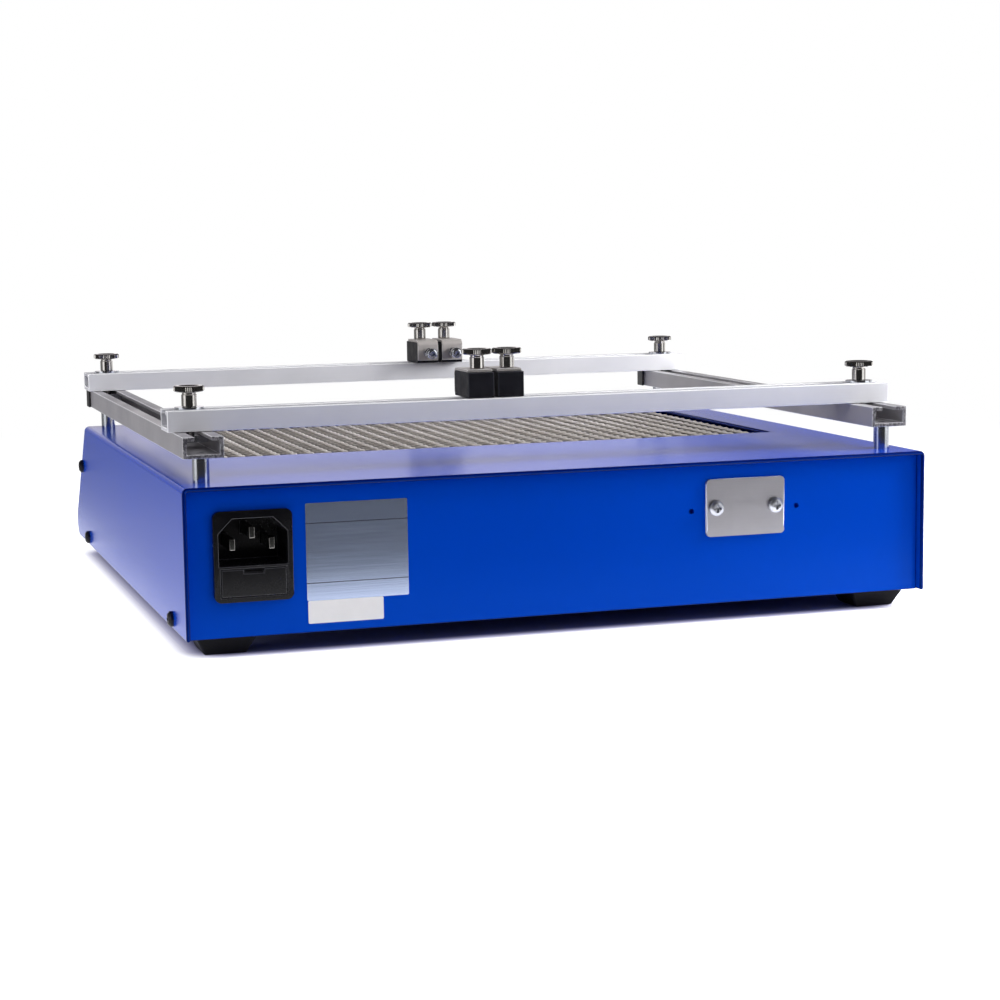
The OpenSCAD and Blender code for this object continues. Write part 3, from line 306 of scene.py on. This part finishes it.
def guard_steel():
    """Bright wire, darkened towards brown-black midway between the long wires as painted shade."""
    made = Finish("guard_steel", {"Metallic": 0.5})
    across = made.axis("X")
    from_wire = across.math("PINGPONG", across, WIRE_PITCH / 2 * MM)
    # painted shade: the wire darkens midway between the long wires
    painted_wire_shade = made.fade(from_wire, 1.4 * MM, 3.1 * MM)
    patches = made.patches()
    grain = made.noise(1600, 3.0)
    bright = made.mix(patches * 0.6 + grain * 0.4, rgb(0.92, 0.87, 0.82), rgb(0.74, 0.68, 0.62))
    made.feed("Base Color", made.mix(painted_wire_shade * (0.5 + 0.3 * grain), bright, rgb(0.09, 0.075, 0.065)))
    made.feed("Roughness", 0.26 + 0.08 * patches + 0.06 * grain)
    made.bump(grain, 0.02)
    return made


blued = rgb(0.006, 0.006, 0.008)
# The edge colours below are painted highlights on the eased edges; the rails' saw-cut ends also get painted shade.
finishes = {
    "blue_paint": blue_paint(),
    "quartz": quartz(),
    "fuse_body": fuse_body(),
    "circuit_board": circuit_board(),
    "guard_steel": guard_steel(),
    "black_rubber": surface(
        "black_rubber", rgb(0.004, 0.004, 0.005), rgb(0.007, 0.007, 0.009), rough=0.6, grain=1800,
        depth=0.05, patch=90, spread=0.16, edge=rgb(0.01, 0.01, 0.013), Specular_IOR_Level=0.1),
    "black_steel": surface(
        "black_steel", blued, rgb(0.012, 0.012, 0.014), rough=0.32, grain=1500, depth=0.01,
        patch=200, spread=0.14, Metallic=0.4),
    "inlet_plastic": surface(
        "inlet_plastic", rgb(0.002, 0.002, 0.003), rgb(0.004, 0.004, 0.005), rough=0.24, grain=2600,
        depth=0.01, patch=70, spread=0.1, edge=rgb(0.03, 0.03, 0.034), Specular_IOR_Level=0.3),
    "contact_metal": metal(
        "contact_metal", rgb(0.2, 0.2, 0.19), rgb(0.12, 0.12, 0.11), rough=0.2, grain=1500, depth=0.008,
        stretch=(1, 0.05, 1), edge=rgb(0.45, 0.44, 0.42)),
    "stainless": metal(
        "stainless", rgb(0.6, 0.59, 0.6), rgb(0.5, 0.49, 0.5), rough=0.36, grain=1900, depth=0.01,
        stretch=(0.03, 1, 1), edge=rgb(0.85, 0.85, 0.85)),
    "jaw_steel": metal(
        "jaw_steel", rgb(0.5, 0.47, 0.45), rgb(0.4, 0.37, 0.35), rough=0.34, grain=2200, depth=0.015,
        metallic=0.45, stretch=(1, 1, 0.04), edge=rgb(0.85, 0.84, 0.82)),
    "zinc": metal(
        "zinc", rgb(0.72, 0.74, 0.78), rgb(0.6, 0.63, 0.68), rough=0.16, grain=900, depth=0.004,
        stretch=(1, 1, 6), edge=rgb(0.86, 0.87, 0.9)),
    "reflector": metal(
        "reflector", rgb(0.3, 0.28, 0.26), rgb(0.2, 0.18, 0.16), rough=0.36, grain=700, depth=0.03,
        stretch=(0.05, 1, 1)),
    "heating_wire": metal(
        "heating_wire", rgb(0.22, 0.19, 0.17), rgb(0.12, 0.1, 0.09), rough=0.55, grain=1500, depth=0.04),
    "ceramic_white": surface(
        "ceramic_white", rgb(0.8, 0.78, 0.72), rgb(0.68, 0.65, 0.58), rough=0.5, grain=1400, depth=0.04,
        patch=120, spread=0.2),
    "insulation": surface(
        "insulation", rgb(0.72, 0.68, 0.6), rgb(0.56, 0.52, 0.45), rough=0.85, grain=700, depth=0.3,
        patch=160, spread=0.12, stretch=(0.3, 1, 1)),
    "black_plastic": surface(
        "black_plastic", rgb(0.008, 0.008, 0.009), rgb(0.014, 0.014, 0.015), rough=0.36, grain=2400,
        depth=0.02, patch=80, spread=0.12, edge=rgb(0.03, 0.03, 0.03)),
    "component_plastic": surface(
        "component_plastic", rgb(0.03, 0.03, 0.035), rgb(0.05, 0.05, 0.055), rough=0.45, grain=1800,
        depth=0.03, patch=150, spread=0.15),
    "sink_aluminium": metal(
        "sink_aluminium", rgb(0.5, 0.5, 0.51), rgb(0.4, 0.4, 0.41), rough=0.42, grain=1600, depth=0.02,
        stretch=(1, 1, 0.03)),
    "lead_jacket": surface(
        "lead_jacket", rgb(0.42, 0.035, 0.03), rgb(0.5, 0.06, 0.05), rough=0.42, grain=1700, depth=0.03,
        patch=130, spread=0.12),
    "lamp_lens": surface(
        "lamp_lens", rgb(0.62, 0.03, 0.012), rgb(0.78, 0.07, 0.03), rough=0.16, grain=1100, depth=0.08,
        patch=700),
    "rail_aluminium": metal(
        "rail_along_y", rgb(0.4, 0.385, 0.4), rgb(0.32, 0.31, 0.33), rough=0.34, grain=1500, depth=0.02,
        metallic=0.4, stretch=(1, 0.008, 1), edge=rgb(0.75, 0.75, 0.77), sawn=("Y", "left_rail")),
    "bar_aluminium": metal(
        "bar_along_x", rgb(0.68, 0.68, 0.71), rgb(0.61, 0.61, 0.64), rough=0.4, grain=1500, depth=0.02,
        metallic=0.25, stretch=(0.008, 1, 1), edge=rgb(0.95, 0.95, 0.96)),
    "nickel": metal(
        "nickel", rgb(0.64, 0.62, 0.6), rgb(0.5, 0.48, 0.46), rough=0.13, grain=1300, depth=0.005,
        stretch=(0.1, 0.1, 1)),
    "clamp_black": surface(
        "clamp_black", blued, rgb(0.01, 0.01, 0.013), rough=0.4, grain=1900, depth=0.03,
        patch=220, spread=0.14, edge=rgb(0.03, 0.03, 0.036), Specular_IOR_Level=0.15),
}
foil = foil_label()
plate_screw = metal(
    "plate_screw", rgb(0.62, 0.63, 0.67), rgb(0.48, 0.5, 0.55), rough=0.4, grain=1200, depth=0.01)
paper = surface(
    "paper_sticker", rgb(0.78, 0.77, 0.76), rgb(0.7, 0.69, 0.68), rough=0.55, grain=2200, depth=0.01,
    patch=60, spread=0.1)
print_white = surface(
    "printed_white", rgb(0.78, 0.79, 0.8), rgb(0.7, 0.71, 0.73), rough=0.45, grain=2400, depth=0.01,
    patch=300, spread=0.1)


# Pieces

def piece(name, shape, finish, body, stands_for=(), sharp=35):
    """Finish a bmesh as an object that rides on a body; edges sharper than the angle stay crisp."""
    mesh = bpy.data.meshes.new(name)
    shape.to_mesh(mesh)
    shape.free()
    for face in mesh.polygons:
        face.use_smooth = True
    mesh.set_sharp_from_angle(angle=math.radians(sharp))
    mesh.materials.append(finish.material)
    made = bpy.data.objects.new(name, mesh)
    scene.collection.objects.link(made)
    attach(made, body)
    if stands_for:
        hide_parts(*stands_for)
    return made


def bevel(shape, edges, width, steps):
    """Round edges off by a width in millimetres; returns the faces that this makes."""
    return bmesh.ops.bevel(
        shape, geom=edges, offset=width * MM, offset_type="OFFSET", affect="EDGES", segments=steps,
        profile=0.5, material=-1, clamp_overlap=False)["faces"]


def eased(node, width=0.0, finish=None, steps=2, shortest=0.8):
    """A node's own shape, smooth where it is round, its long sharp edges eased by a width in millimetres."""
    shape = bmesh.new()
    shape.from_mesh(nodes[node].data)
    bmesh.ops.remove_doubles(shape, verts=shape.verts, dist=MERGE)
    flat = math.radians(0.6)
    bmesh.ops.dissolve_limit(shape, angle_limit=flat, verts=shape.verts, edges=shape.edges)
    # marks the eased faces, where the finishes paint highlight or shade
    eased_face_layer = shape.faces.layers.float.new("eased_edge")
    if width:
        sharp = math.radians(40)
        long_edges = [
            edge for edge in shape.edges
            if edge.is_manifold and edge.calc_face_angle() > sharp and edge.calc_length() > shortest * MM
        ]
        for face in bevel(shape, long_edges, width, steps):
            face[eased_face_layer] = 1.0
    slot = slot_of[node]
    done = piece(f"{node}.eased", shape, finish or finishes[slot], body_of[node], [node])
    if width:
        normals = done.modifiers.new("even_shading", "WEIGHTED_NORMAL")
        normals.keep_sharp = True


def turned(rings, segments, teeth=0):
    """A shape turned on +Z from rings of height, radius and tooth depth, closed at both ends."""
    shape = bmesh.new()
    bmesh.ops.create_circle(shape, cap_ends=True, radius=1, segments=segments)
    edges = list(shape.edges)
    for number, (height, radius, tooth) in enumerate(rings):
        if number:
            grown = bmesh.ops.extrude_edge_only(shape, edges=edges)["geom"]
            edges = [part for part in grown if isinstance(part, bmesh.types.BMEdge)]
            edges = [edge for edge in edges if edge.is_boundary]
        for vert in {vert for edge in edges for vert in edge.verts}:
            angle = math.atan2(vert.co.y, vert.co.x)
            reach = radius - tooth * (0.5 - 0.5 * math.cos(teeth * angle))
            vert.co = Vector((math.cos(angle) * reach, math.sin(angle) * reach, height)) * MM
    bmesh.ops.contextual_create(shape, geom=edges)
    bmesh.ops.recalc_face_normals(shape, faces=shape.faces)
    return shape


def block(size, place, corner=0.0):
    """A plate or bar of a size in millimetres on a place; its corners along local Z are rounded."""
    shape = bmesh.new()
    bmesh.ops.create_cube(shape, size=1, matrix=Matrix.Diagonal((*(Vector(size) * MM), 1)))
    if corner:
        upright = [e for e in shape.edges if abs((e.verts[0].co - e.verts[1].co).normalized().z) > 0.9]
        bevel(shape, upright, corner, steps=6)
    bmesh.ops.transform(shape, matrix=place, verts=shape.verts)
    return shape


def lettering(name, characters, size, place, finish, body):
    """Thin printed characters, centred on a place whose local +Z points out of the surface."""
    curve = bpy.data.curves.new(name, "FONT")
    curve.body = characters
    curve.size = size * MM
    curve.align_x = "CENTER"
    curve.align_y = "CENTER"
    curve.extrude = 0.02 * MM
    written = bpy.data.objects.new(f"{name}.curve", curve)
    scene.collection.objects.link(written)
    mesh = bpy.data.meshes.new_from_object(written.evaluated_get(bpy.context.evaluated_depsgraph_get()))
    bpy.data.objects.remove(written)
    shape = bmesh.new()
    shape.from_mesh(mesh)
    bmesh.ops.remove_doubles(shape, verts=shape.verts, dist=MERGE)
    bmesh.ops.transform(shape, matrix=place, verts=shape.verts)
    piece(name, shape, finish, body)


def spot(x, y, z):
    return Matrix.Translation(Vector((x, y, z)) * MM)


# Sheet metal, feet and fasteners

eased("top_cover", 0.72, steps=3, shortest=0)
eased("base_pan", 0.25, shortest=4)
eased("front_panel", 0.25, shortest=4)
eased("rubber_feet", 0.7, steps=3)
for node in ("cover_screws", "holder_posts", "control_shaft", "potentiometer"):
    eased(node)
eased("blank_plate", 0.45, plate_steel())
eased("blank_plate_screws", finish=plate_screw)
eased("inlet_housing", 0.3, shortest=1.5)
eased("fuse_drawer", 0.35)
eased("inlet_contacts", 0.25)
eased("guard_frame", 0.15, shortest=3)

# Board holder

eased("right_rail", 0.25, shortest=3)
eased("left_rail", 0.25, shortest=3)
eased("rail_caps", 0.3)
for bar in ("rear", "front"):
    eased(f"{bar}_bar", 0.25, finishes["bar_aluminium"], shortest=3)
    eased(f"{bar}_bar_hardware")
    for side in ("right", "left"):
        eased(f"{bar}_clamp_{side}_block", 0.3)
        eased(f"{bar}_clamp_{side}_jaw", 0.15)
        eased(f"{bar}_clamp_{side}_hardware")

COLLAR = 5.5 / 2
HEAD = 11.1 / 2
HEAD_TOP = 7.5
KNURL = 0.3


def thumbscrew(node):
    """Knurled thumbscrew with a turned collar and a dished top."""
    low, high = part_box(node)
    seat = high.z - HEAD_TOP * MM
    thread = (seat - low.z) / MM
    rings = [
        (-thread, 1.1, 0), (-thread + 0.4, 1.5, 0), (0, 1.5, 0),
        (0, COLLAR - 0.3, 0), (0.3, COLLAR, 0), (4.2, COLLAR, 0), (4.5, COLLAR - 0.25, 0),
        (4.9, COLLAR - 0.25, 0), (5.3, COLLAR + 0.5, 0),
        (5.35, HEAD - 0.7, 0), (5.7, HEAD - 0.05, KNURL), (7.1, HEAD - 0.05, KNURL),
        (HEAD_TOP, HEAD - 0.6, 0), (HEAD_TOP, HEAD * 0.66, 0), (7.05, HEAD * 0.56, 0), (7.1, 0.9, 0),
    ]
    shape = turned(rings, 192, teeth=48)
    middle = (low + high) / 2
    bmesh.ops.translate(shape, vec=Vector((middle.x, middle.y, seat)), verts=shape.verts)
    piece(f"{node}.knurled", shape, finishes["nickel"], body_of[node], [node], sharp=30)


for bar in ("rear", "front"):
    for side in ("right", "left"):
        thumbscrew(f"{bar}_bar_screw_{side}")
        thumbscrew(f"{bar}_clamp_{side}_screw")

# Crossed guard wires with a light crimp, one layer on the other

LONG_WIRE = 1.4 / 2
CROSS_WIRE = 1.0 / 2
LONG_Z = 58.25
CROSS_Z = 57.3
LONG_CRIMP = 0.35
CROSS_CRIMP = 0.4
STEPS_PER_PITCH = 4


def crimped_wire(length, radius, crimp, place):
    """A wire along local X that dips between the wires that it crosses."""
    wire = bmesh.new()
    lay = Matrix.Rotation(math.radians(90), 4, "Y")
    bmesh.ops.create_cone(
        wire, cap_ends=True, segments=8, radius1=radius, radius2=radius, depth=length, matrix=lay)
    long_edges = [edge for edge in wire.edges if edge.calc_length() > length / 2]
    cuts = round(length / WIRE_PITCH * STEPS_PER_PITCH)
    bmesh.ops.subdivide_edgering(wire, edges=long_edges, cuts=cuts, interp_mode="LINEAR")
    for vert in wire.verts:
        vert.co.z -= crimp * (0.5 - 0.5 * math.cos(math.tau * vert.co.x / WIRE_PITCH))
    bmesh.ops.scale(wire, vec=Vector((MM, MM, MM)), verts=wire.verts)
    bmesh.ops.transform(wire, matrix=place, verts=wire.verts)
    return wire


def gather(shapes):
    """One bmesh from several."""
    whole = bmesh.new()
    for shape in shapes:
        mesh = bpy.data.meshes.new("part")
        shape.to_mesh(mesh)
        shape.free()
        whole.from_mesh(mesh)
        bpy.data.meshes.remove(mesh)
    return whole


guard_low, guard_high = (Vector(corner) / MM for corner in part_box("guard_wires"))
guard_size = guard_high - guard_low
guard_y = (guard_low.y + guard_high.y) / 2
cross_pairs = int(guard_size.y / 2 / WIRE_PITCH)
long_pairs = int(guard_size.x / 2 / WIRE_PITCH)
quarter_turn = Matrix.Rotation(math.radians(90), 4, "Z")
guard = []
for k in range(-cross_pairs, cross_pairs + 1):
    place = spot(0, guard_y + WIRE_PITCH * k, CROSS_Z)
    guard.append(crimped_wire(guard_size.x, CROSS_WIRE, CROSS_CRIMP, place))
for k in range(-long_pairs, long_pairs + 1):
    place = spot(WIRE_PITCH * k, guard_y, LONG_Z) @ quarter_turn
    guard.append(crimped_wire(guard_size.y, LONG_WIRE, LONG_CRIMP, place))
piece(
    "guard_wires.crimped", gather(guard), finishes["guard_steel"], "housing",
    ["guard_wires"], sharp=70)

# Wound heating coils

COIL_WIRE = 0.4
COIL_R = 4.5 / 2 - COIL_WIRE
COIL_PITCH = 2.2
COIL_STEPS = 10
COILS = 4
TUBE_PITCH = 35.5


def wound_coil(length):
    """A helix along X, made by turning a small round section about the coil's middle."""
    turns = int(length / COIL_PITCH)
    coil = bmesh.new()
    start = spot(-length / 2, 0, COIL_R) @ Matrix.Rotation(math.radians(90), 4, "X")
    bmesh.ops.create_circle(coil, segments=5, radius=COIL_WIRE * MM, matrix=start)
    bmesh.ops.spin(
        coil, geom=coil.edges, cent=Vector(), axis=Vector((1, 0, 0)), angle=math.tau * turns,
        steps=turns * COIL_STEPS, dvec=Vector((COIL_PITCH * MM / COIL_STEPS, 0, 0)), use_merge=False)
    bmesh.ops.holes_fill(coil, edges=[edge for edge in coil.edges if edge.is_boundary])
    bmesh.ops.recalc_face_normals(coil, faces=coil.faces)
    return coil


coil_low, coil_high = (Vector(corner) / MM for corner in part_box("heater_coils"))
coil_middle = (coil_low + coil_high) / 2
coils = []
for row in range(COILS):
    y = coil_middle.y + TUBE_PITCH * (row - (COILS - 1) / 2)
    coil = wound_coil(coil_high.x - coil_low.x)
    bmesh.ops.transform(coil, matrix=spot(0, y, coil_middle.z), verts=coil.verts)
    coils.append(coil)
piece(
    "heater_coils.wound", gather(coils), finishes["heating_wire"], "housing",
    ["heater_coils"], sharp=70)

# Rear panel: bare foil label and bare paper sticker

PANEL_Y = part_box("base_pan")[1].y / MM
TO_REAR = Matrix.Rotation(math.radians(-90), 4, "X")


def stuck_on(name, x0, x1, z0, z1, finish, thick):
    """A thin sheet on the rear panel between two sides, a lower and an upper edge."""
    place = spot((x0 + x1) / 2, PANEL_Y + thick / 2, (z0 + z1) / 2) @ TO_REAR
    piece(name, block((x1 - x0, z1 - z0, thick), place, corner=0.5), finish, "housing")


stuck_on("rating_foil_bare", 61.5, 98.5, 18.2, 52.8, foil, thick=0.12)
stuck_on("sticker_bare", 70.9, 98.2, 10.1, 18.15, paper, thick=0.14)

# Closed press nuts behind the two accessory holes, which lie beside the blank plate

HOLE_SPACING = 42.5
HOLE_DROP = 0.9
nut_rings = [
    (-3.6, 1.8, 0), (-3.2, 2.1, 0), (-1.55, 2.1, 0), (-1.55, 1.05, 0), (-2.4, 1.05, 0), (-2.45, 0.4, 0),
]
plate_low, plate_high = (Vector(corner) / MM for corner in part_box("blank_plate"))
plate_middle = (plate_low + plate_high) / 2
for side, sign in (("right", -1), ("left", 1)):
    nut = turned(nut_rings, 32)
    hole = spot(plate_middle.x + sign * HOLE_SPACING / 2, PANEL_Y, plate_middle.z - HOLE_DROP)
    bmesh.ops.transform(nut, matrix=hole @ TO_REAR, verts=nut.verts)
    piece(f"press_nut_{side}", nut, finishes["blue_paint"], "housing")

# Front controls

PRINT_LIFT = 0.03
DIAL_START = 150
DIAL_STEP = 30
FIGURE_R = 15.6
TICK_R = 12.2


def on_front(joint):
    """Place of a joint on the sloped panel, with local +Z out of the panel and local +Y up along it."""
    axis = joint_of["control_turn"]["axis"]
    slope = Matrix.Rotation(math.atan2(-axis[1], axis[2]), 4, "X")
    return Matrix.Translation(joint_of[joint]["pos_m"]) @ slope


KNOB = on_front("control_turn")
SWITCH = on_front("switch_rock")


def around(angle, radius):
    """Place on the panel round the knob, with the angle in degrees counted left from straight up."""
    place = math.radians(90 + angle)
    return KNOB @ spot(radius * math.cos(place), radius * math.sin(place), 0)


eased("switch_housing", 0.35, shortest=2)
eased("switch_rocker", 0.5, shortest=2)
eased("pilot_lamp")

knob_rings = [
    (3.2, 9.4, 0), (3.4, 9.7, 0), (4.9, 9.9, 0), (5.2, 9.7, 0), (6.0, 8.5, 0.2), (6.6, 8.35, 0.8),
    (12.6, 7.9, 0.8), (13.5, 7.5, 0.5), (13.9, 6.9, 0.1), (14.0, 6.2, 0), (13.8, 5.6, 0),
]
knob = turned(knob_rings, 160, teeth=20)
bmesh.ops.transform(knob, matrix=KNOB, verts=knob.verts)
piece(
    "control_knob.fluted", knob, finishes["black_plastic"], "control_knob",
    ["control_knob"], sharp=40)
pointer = block((0.9, 4.6, 0.4), KNOB @ spot(0, 3.9, 13.85), corner=0.3)
piece("knob_pointer", pointer, print_white, "control_knob")
for number in range(11):
    angle = DIAL_START - DIAL_STEP * number
    figure = around(angle, FIGURE_R) @ spot(0, 0, PRINT_LIFT)
    lettering(f"dial_{number}", str(number), 3.4, figure, print_white, "housing")
    lean = Matrix.Rotation(math.radians(angle), 4, "Z")
    tick = around(angle, TICK_R) @ lean @ spot(0, 0, PRINT_LIFT)
    piece(f"dial_tick_{number}", block((0.5, 1.9, 0.05), tick), print_white, "housing")

# Marks on the two slanted halves of the rocker

ROCKER_TILT = Matrix.Rotation(math.radians(8), 4, "X")
ROCKER_MIDDLE = 2.3
ROCKER_RISE = 1.3 / 7.7
MARK_OUT = 4.4
MARK_LIFT = 0.02
mark_height = ROCKER_MIDDLE + MARK_OUT * ROCKER_RISE + MARK_LIFT
for mark, sign in (("I", 1), ("O", -1)):
    lean = Matrix.Rotation(math.atan(ROCKER_RISE) * sign, 4, "X")
    face = SWITCH @ ROCKER_TILT @ spot(0, MARK_OUT * sign, mark_height) @ lean
    lettering(f"switch_mark_{mark}", mark, 3.6, face, print_white, "switch_rocker")

# The other nodes keep their shape and take their finish

for name, node in nodes.items():
    node.data.materials.clear()
    node.data.materials.append(finishes[slot_of[name]].material)


# Studio

# AMBIENT is the share of the surroundings that lights the object, FLOOR_LIFT brightens the floor to white,
# and the half sizes set after FLOOR_DROP are those of a painted shadow on the floor beneath the object.

AMBIENT = 0.36
FLOOR_LIFT = 0.73
FLOOR_DROP = 0.0001
PAINTED_SHADOW_HALF_SIZE = (0.1235, 0.122, 0)
WHITE = rgb(1, 1, 1)


def photo_camera():
    """Camera behind the object and to its left, a little above its top, with a slight roll."""
    place = (0.26922, 0.88910, 0.15117)
    azimuth = math.radians(162.068)
    elevation = math.radians(7.3126)
    roll = math.radians(-0.7976)
    level = math.cos(elevation)
    back = Vector((math.sin(azimuth) * level, -math.cos(azimuth) * level, math.sin(elevation)))
    right = UP.cross(back).normalized()
    up = back.cross(right)
    across = math.cos(roll) * right + math.sin(roll) * up
    upward = -math.sin(roll) * right + math.cos(roll) * up
    data = bpy.data.cameras.new("photo_camera")
    data.sensor_width = 36
    data.lens = 79.62
    data.clip_start = 0.01
    data.clip_end = 50
    camera = bpy.data.objects.new("photo_camera", data)
    scene.collection.objects.link(camera)
    turn = Matrix((across, upward, back)).transposed().to_4x4()
    camera.matrix_world = Matrix.Translation(place) @ turn
    scene.camera = camera


def area_lamp(name, place, target, size, power):
    data = bpy.data.lights.new(name, "AREA")
    data.shape = "RECTANGLE"
    data.size = size[0]
    data.size_y = size[1]
    data.energy = power
    lamp = bpy.data.objects.new(name, data)
    scene.collection.objects.link(lamp)
    lamp.location = place
    lamp.rotation_euler = (Vector(target) - Vector(place)).to_track_quat("-Z", "Y").to_euler()
    lamp.visible_glossy = False


def seen_rays(tree):
    """1 for the rays that show the surroundings, and 1 for the glossy ones among them."""
    kinds = [Value(tree, tree.node("ShaderNodeLightPath", output=f"Is {kind} Ray"))
             for kind in ("Camera", "Glossy", "Transmission")]
    return tree.fade(kinds[0] + kinds[1] + kinds[2], 0.0, 1.0), kinds[1]


def white_world():
    """White to the eye and behind the object; the room on the camera's side is dim in reflections."""
    world = bpy.data.worlds.new("studio")
    world.use_nodes = True
    scene.world = world
    tree = Nodes(world.node_tree)
    seen, glossy = seen_rays(tree)
    direction = tree.node("ShaderNodeTexCoord", output="Generated")
    across, depth, height = (
        Value(tree, tree.node("ShaderNodeSeparateXYZ", None, {0: direction}, output=axis)) for axis in "XYZ")
    # the low band on the far side, weaker to the left, with a dimmer corner on its right
    back = (1 - tree.fade(depth, -0.75, -0.4)) * (1 - tree.fade(height, 0.16, 0.28))
    back = back * (1 - 0.75 * tree.fade(across, 0.0, 0.15))
    corner = back * (1 - tree.fade(across, -0.46, -0.3))
    background = world.node_tree.nodes["Background"]
    shown = tree.mix(glossy, WHITE, rgb(1, 0.95, 0.97))
    tree.link(tree.mix(seen, rgb(0.9, 0.9, 1), shown), background.inputs["Color"])
    strength = AMBIENT + (1 - AMBIENT) * seen - glossy * (0.95 * (1 - back) + 0.65 * corner)
    tree.link(strength, background.inputs["Strength"])


def stage_sheet(name, size, place):
    """A flat sheet of the studio, which isn't part of the object, and its empty finish."""
    shape = bmesh.new()
    bmesh.ops.create_grid(shape, x_segments=1, y_segments=1, size=0.5)
    bmesh.ops.scale(shape, vec=Vector((size[0], size[1], 1)), verts=shape.verts)
    bmesh.ops.transform(shape, matrix=place, verts=shape.verts)
    mesh = bpy.data.meshes.new(name)
    shape.to_mesh(mesh)
    shape.free()
    sheet = bpy.data.objects.new(name, mesh)
    scene.collection.objects.link(sheet)
    made = Finish(name, {})
    made.tree.nodes.remove(made.shader)
    mesh.materials.append(made.material)
    return sheet, made


def show(made, shader):
    made.link(shader, made.tree.nodes["Material Output"].inputs["Surface"])


def emission(made, colour, strength):
    return made.node("ShaderNodeEmission", None, {"Color": colour, "Strength": strength})


def white_floor():
    """White floor that keeps the object's shadow and adds a painted shadow and a painted bluish bounce light round
    the object; its part on the camera's side is dim in reflections.
    """
    made = stage_sheet("floor", (16, 16), Matrix.Translation((0, 0, -FLOOR_DROP)))[1]
    seen, glossy = seen_rays(made)

    def vector(operation, first, second=(0, 0, 0), output=0):
        return made.node("ShaderNodeVectorMath", {"operation": operation}, {0: first, 1: second}, output)

    # distance from the painted shadow's rectangle, 0 inside it
    past = vector("SUBTRACT", vector("ABSOLUTE", made.place), PAINTED_SHADOW_HALF_SIZE)
    gap = vector("LENGTH", vector("MAXIMUM", past), output="Value")
    clear_of_painted_shadow = made.fade(gap, 0.008, 0.021)
    # painted shadow: the floor colour turns dark bluish beneath the object
    floor_with_painted_shadow = made.mix(clear_of_painted_shadow, rgb(0.2, 0.21, 0.34), rgb(0.8, 0.8, 0.82))
    diffuse = made.node("ShaderNodeBsdfDiffuse", None, {"Color": floor_with_painted_shadow})
    # painted shadow and painted bounce light: the white lift fades out beneath the object and turns violet near it
    lift = emission(made, made.mix(clear_of_painted_shadow, rgb(0.6, 0.56, 1), WHITE), seen * clear_of_painted_shadow * FLOOR_LIFT)
    lit = made.node("ShaderNodeAddShader", None, {0: diffuse, 1: lift})
    white = emission(made, WHITE, seen)
    wide = made.node("ShaderNodeMixShader", None, {0: made.fade(gap, 0.1, 0.6), 1: lit, 2: white})
    # reflections see less of the floor towards the camera and beside the object's left side
    toward = made.fade(made.axis("Y"), 0.19, 0.34)
    near = made.fade(made.axis("Y"), -0.34, 0.12)
    aside = made.fade(made.axis("X"), 0.14, 0.17)
    dim = glossy * (0.97 * toward + (0.77 - 0.27 * near) * aside * (1 - toward))
    dark = emission(made, rgb(0, 0, 0), 0.0)
    show(made, made.node("ShaderNodeMixShader", None, {0: dim, 1: wide, 2: dark}))


def reflector_card(name, bearing, distance, width, height, glow):
    """A standing white card that only reflections show; the bearing counts from +Y towards +X."""
    angle = math.radians(bearing)
    stand = Matrix.Translation((distance * math.sin(angle), distance * math.cos(angle), height / 2))
    turn = Matrix.Rotation(-angle, 4, "Z") @ Matrix.Rotation(math.radians(90), 4, "X")
    card, made = stage_sheet(name, (width, height), stand @ turn)
    show(made, emission(made, WHITE, glow))
    card.visible_camera = False
    card.visible_diffuse = False
    card.visible_shadow = False
    card.visible_transmission = False


photo_camera()
white_world()
white_floor()
reflector_card("card_right", bearing=-50, distance=0.8, width=0.44, height=0.9, glow=1.5)
reflector_card("card_left", bearing=76, distance=0.8, width=0.42, height=0.9, glow=1.3)
area_lamp("ceiling_lamp", place=(0.0, 0.0, 1.5), target=(0, 0, 0), size=(1.8, 1.8), power=15)
area_lamp("camera_side_lamp", place=(-0.6, 1.0, 0.6), target=(0, 0, 0.05), size=(0.6, 0.6), power=3)
area_lamp("right_lamp", place=(-0.5, 0.2, 0.28), target=(0, 0, 0.08), size=(0.25, 0.25), power=4.8)
area_lamp("left_lamp", place=(1.0, 0.08, 0.16), target=(0.14, 0.04, 0.04), size=(0.4, 0.25), power=5.6)
scene.view_settings.view_transform = "Standard"
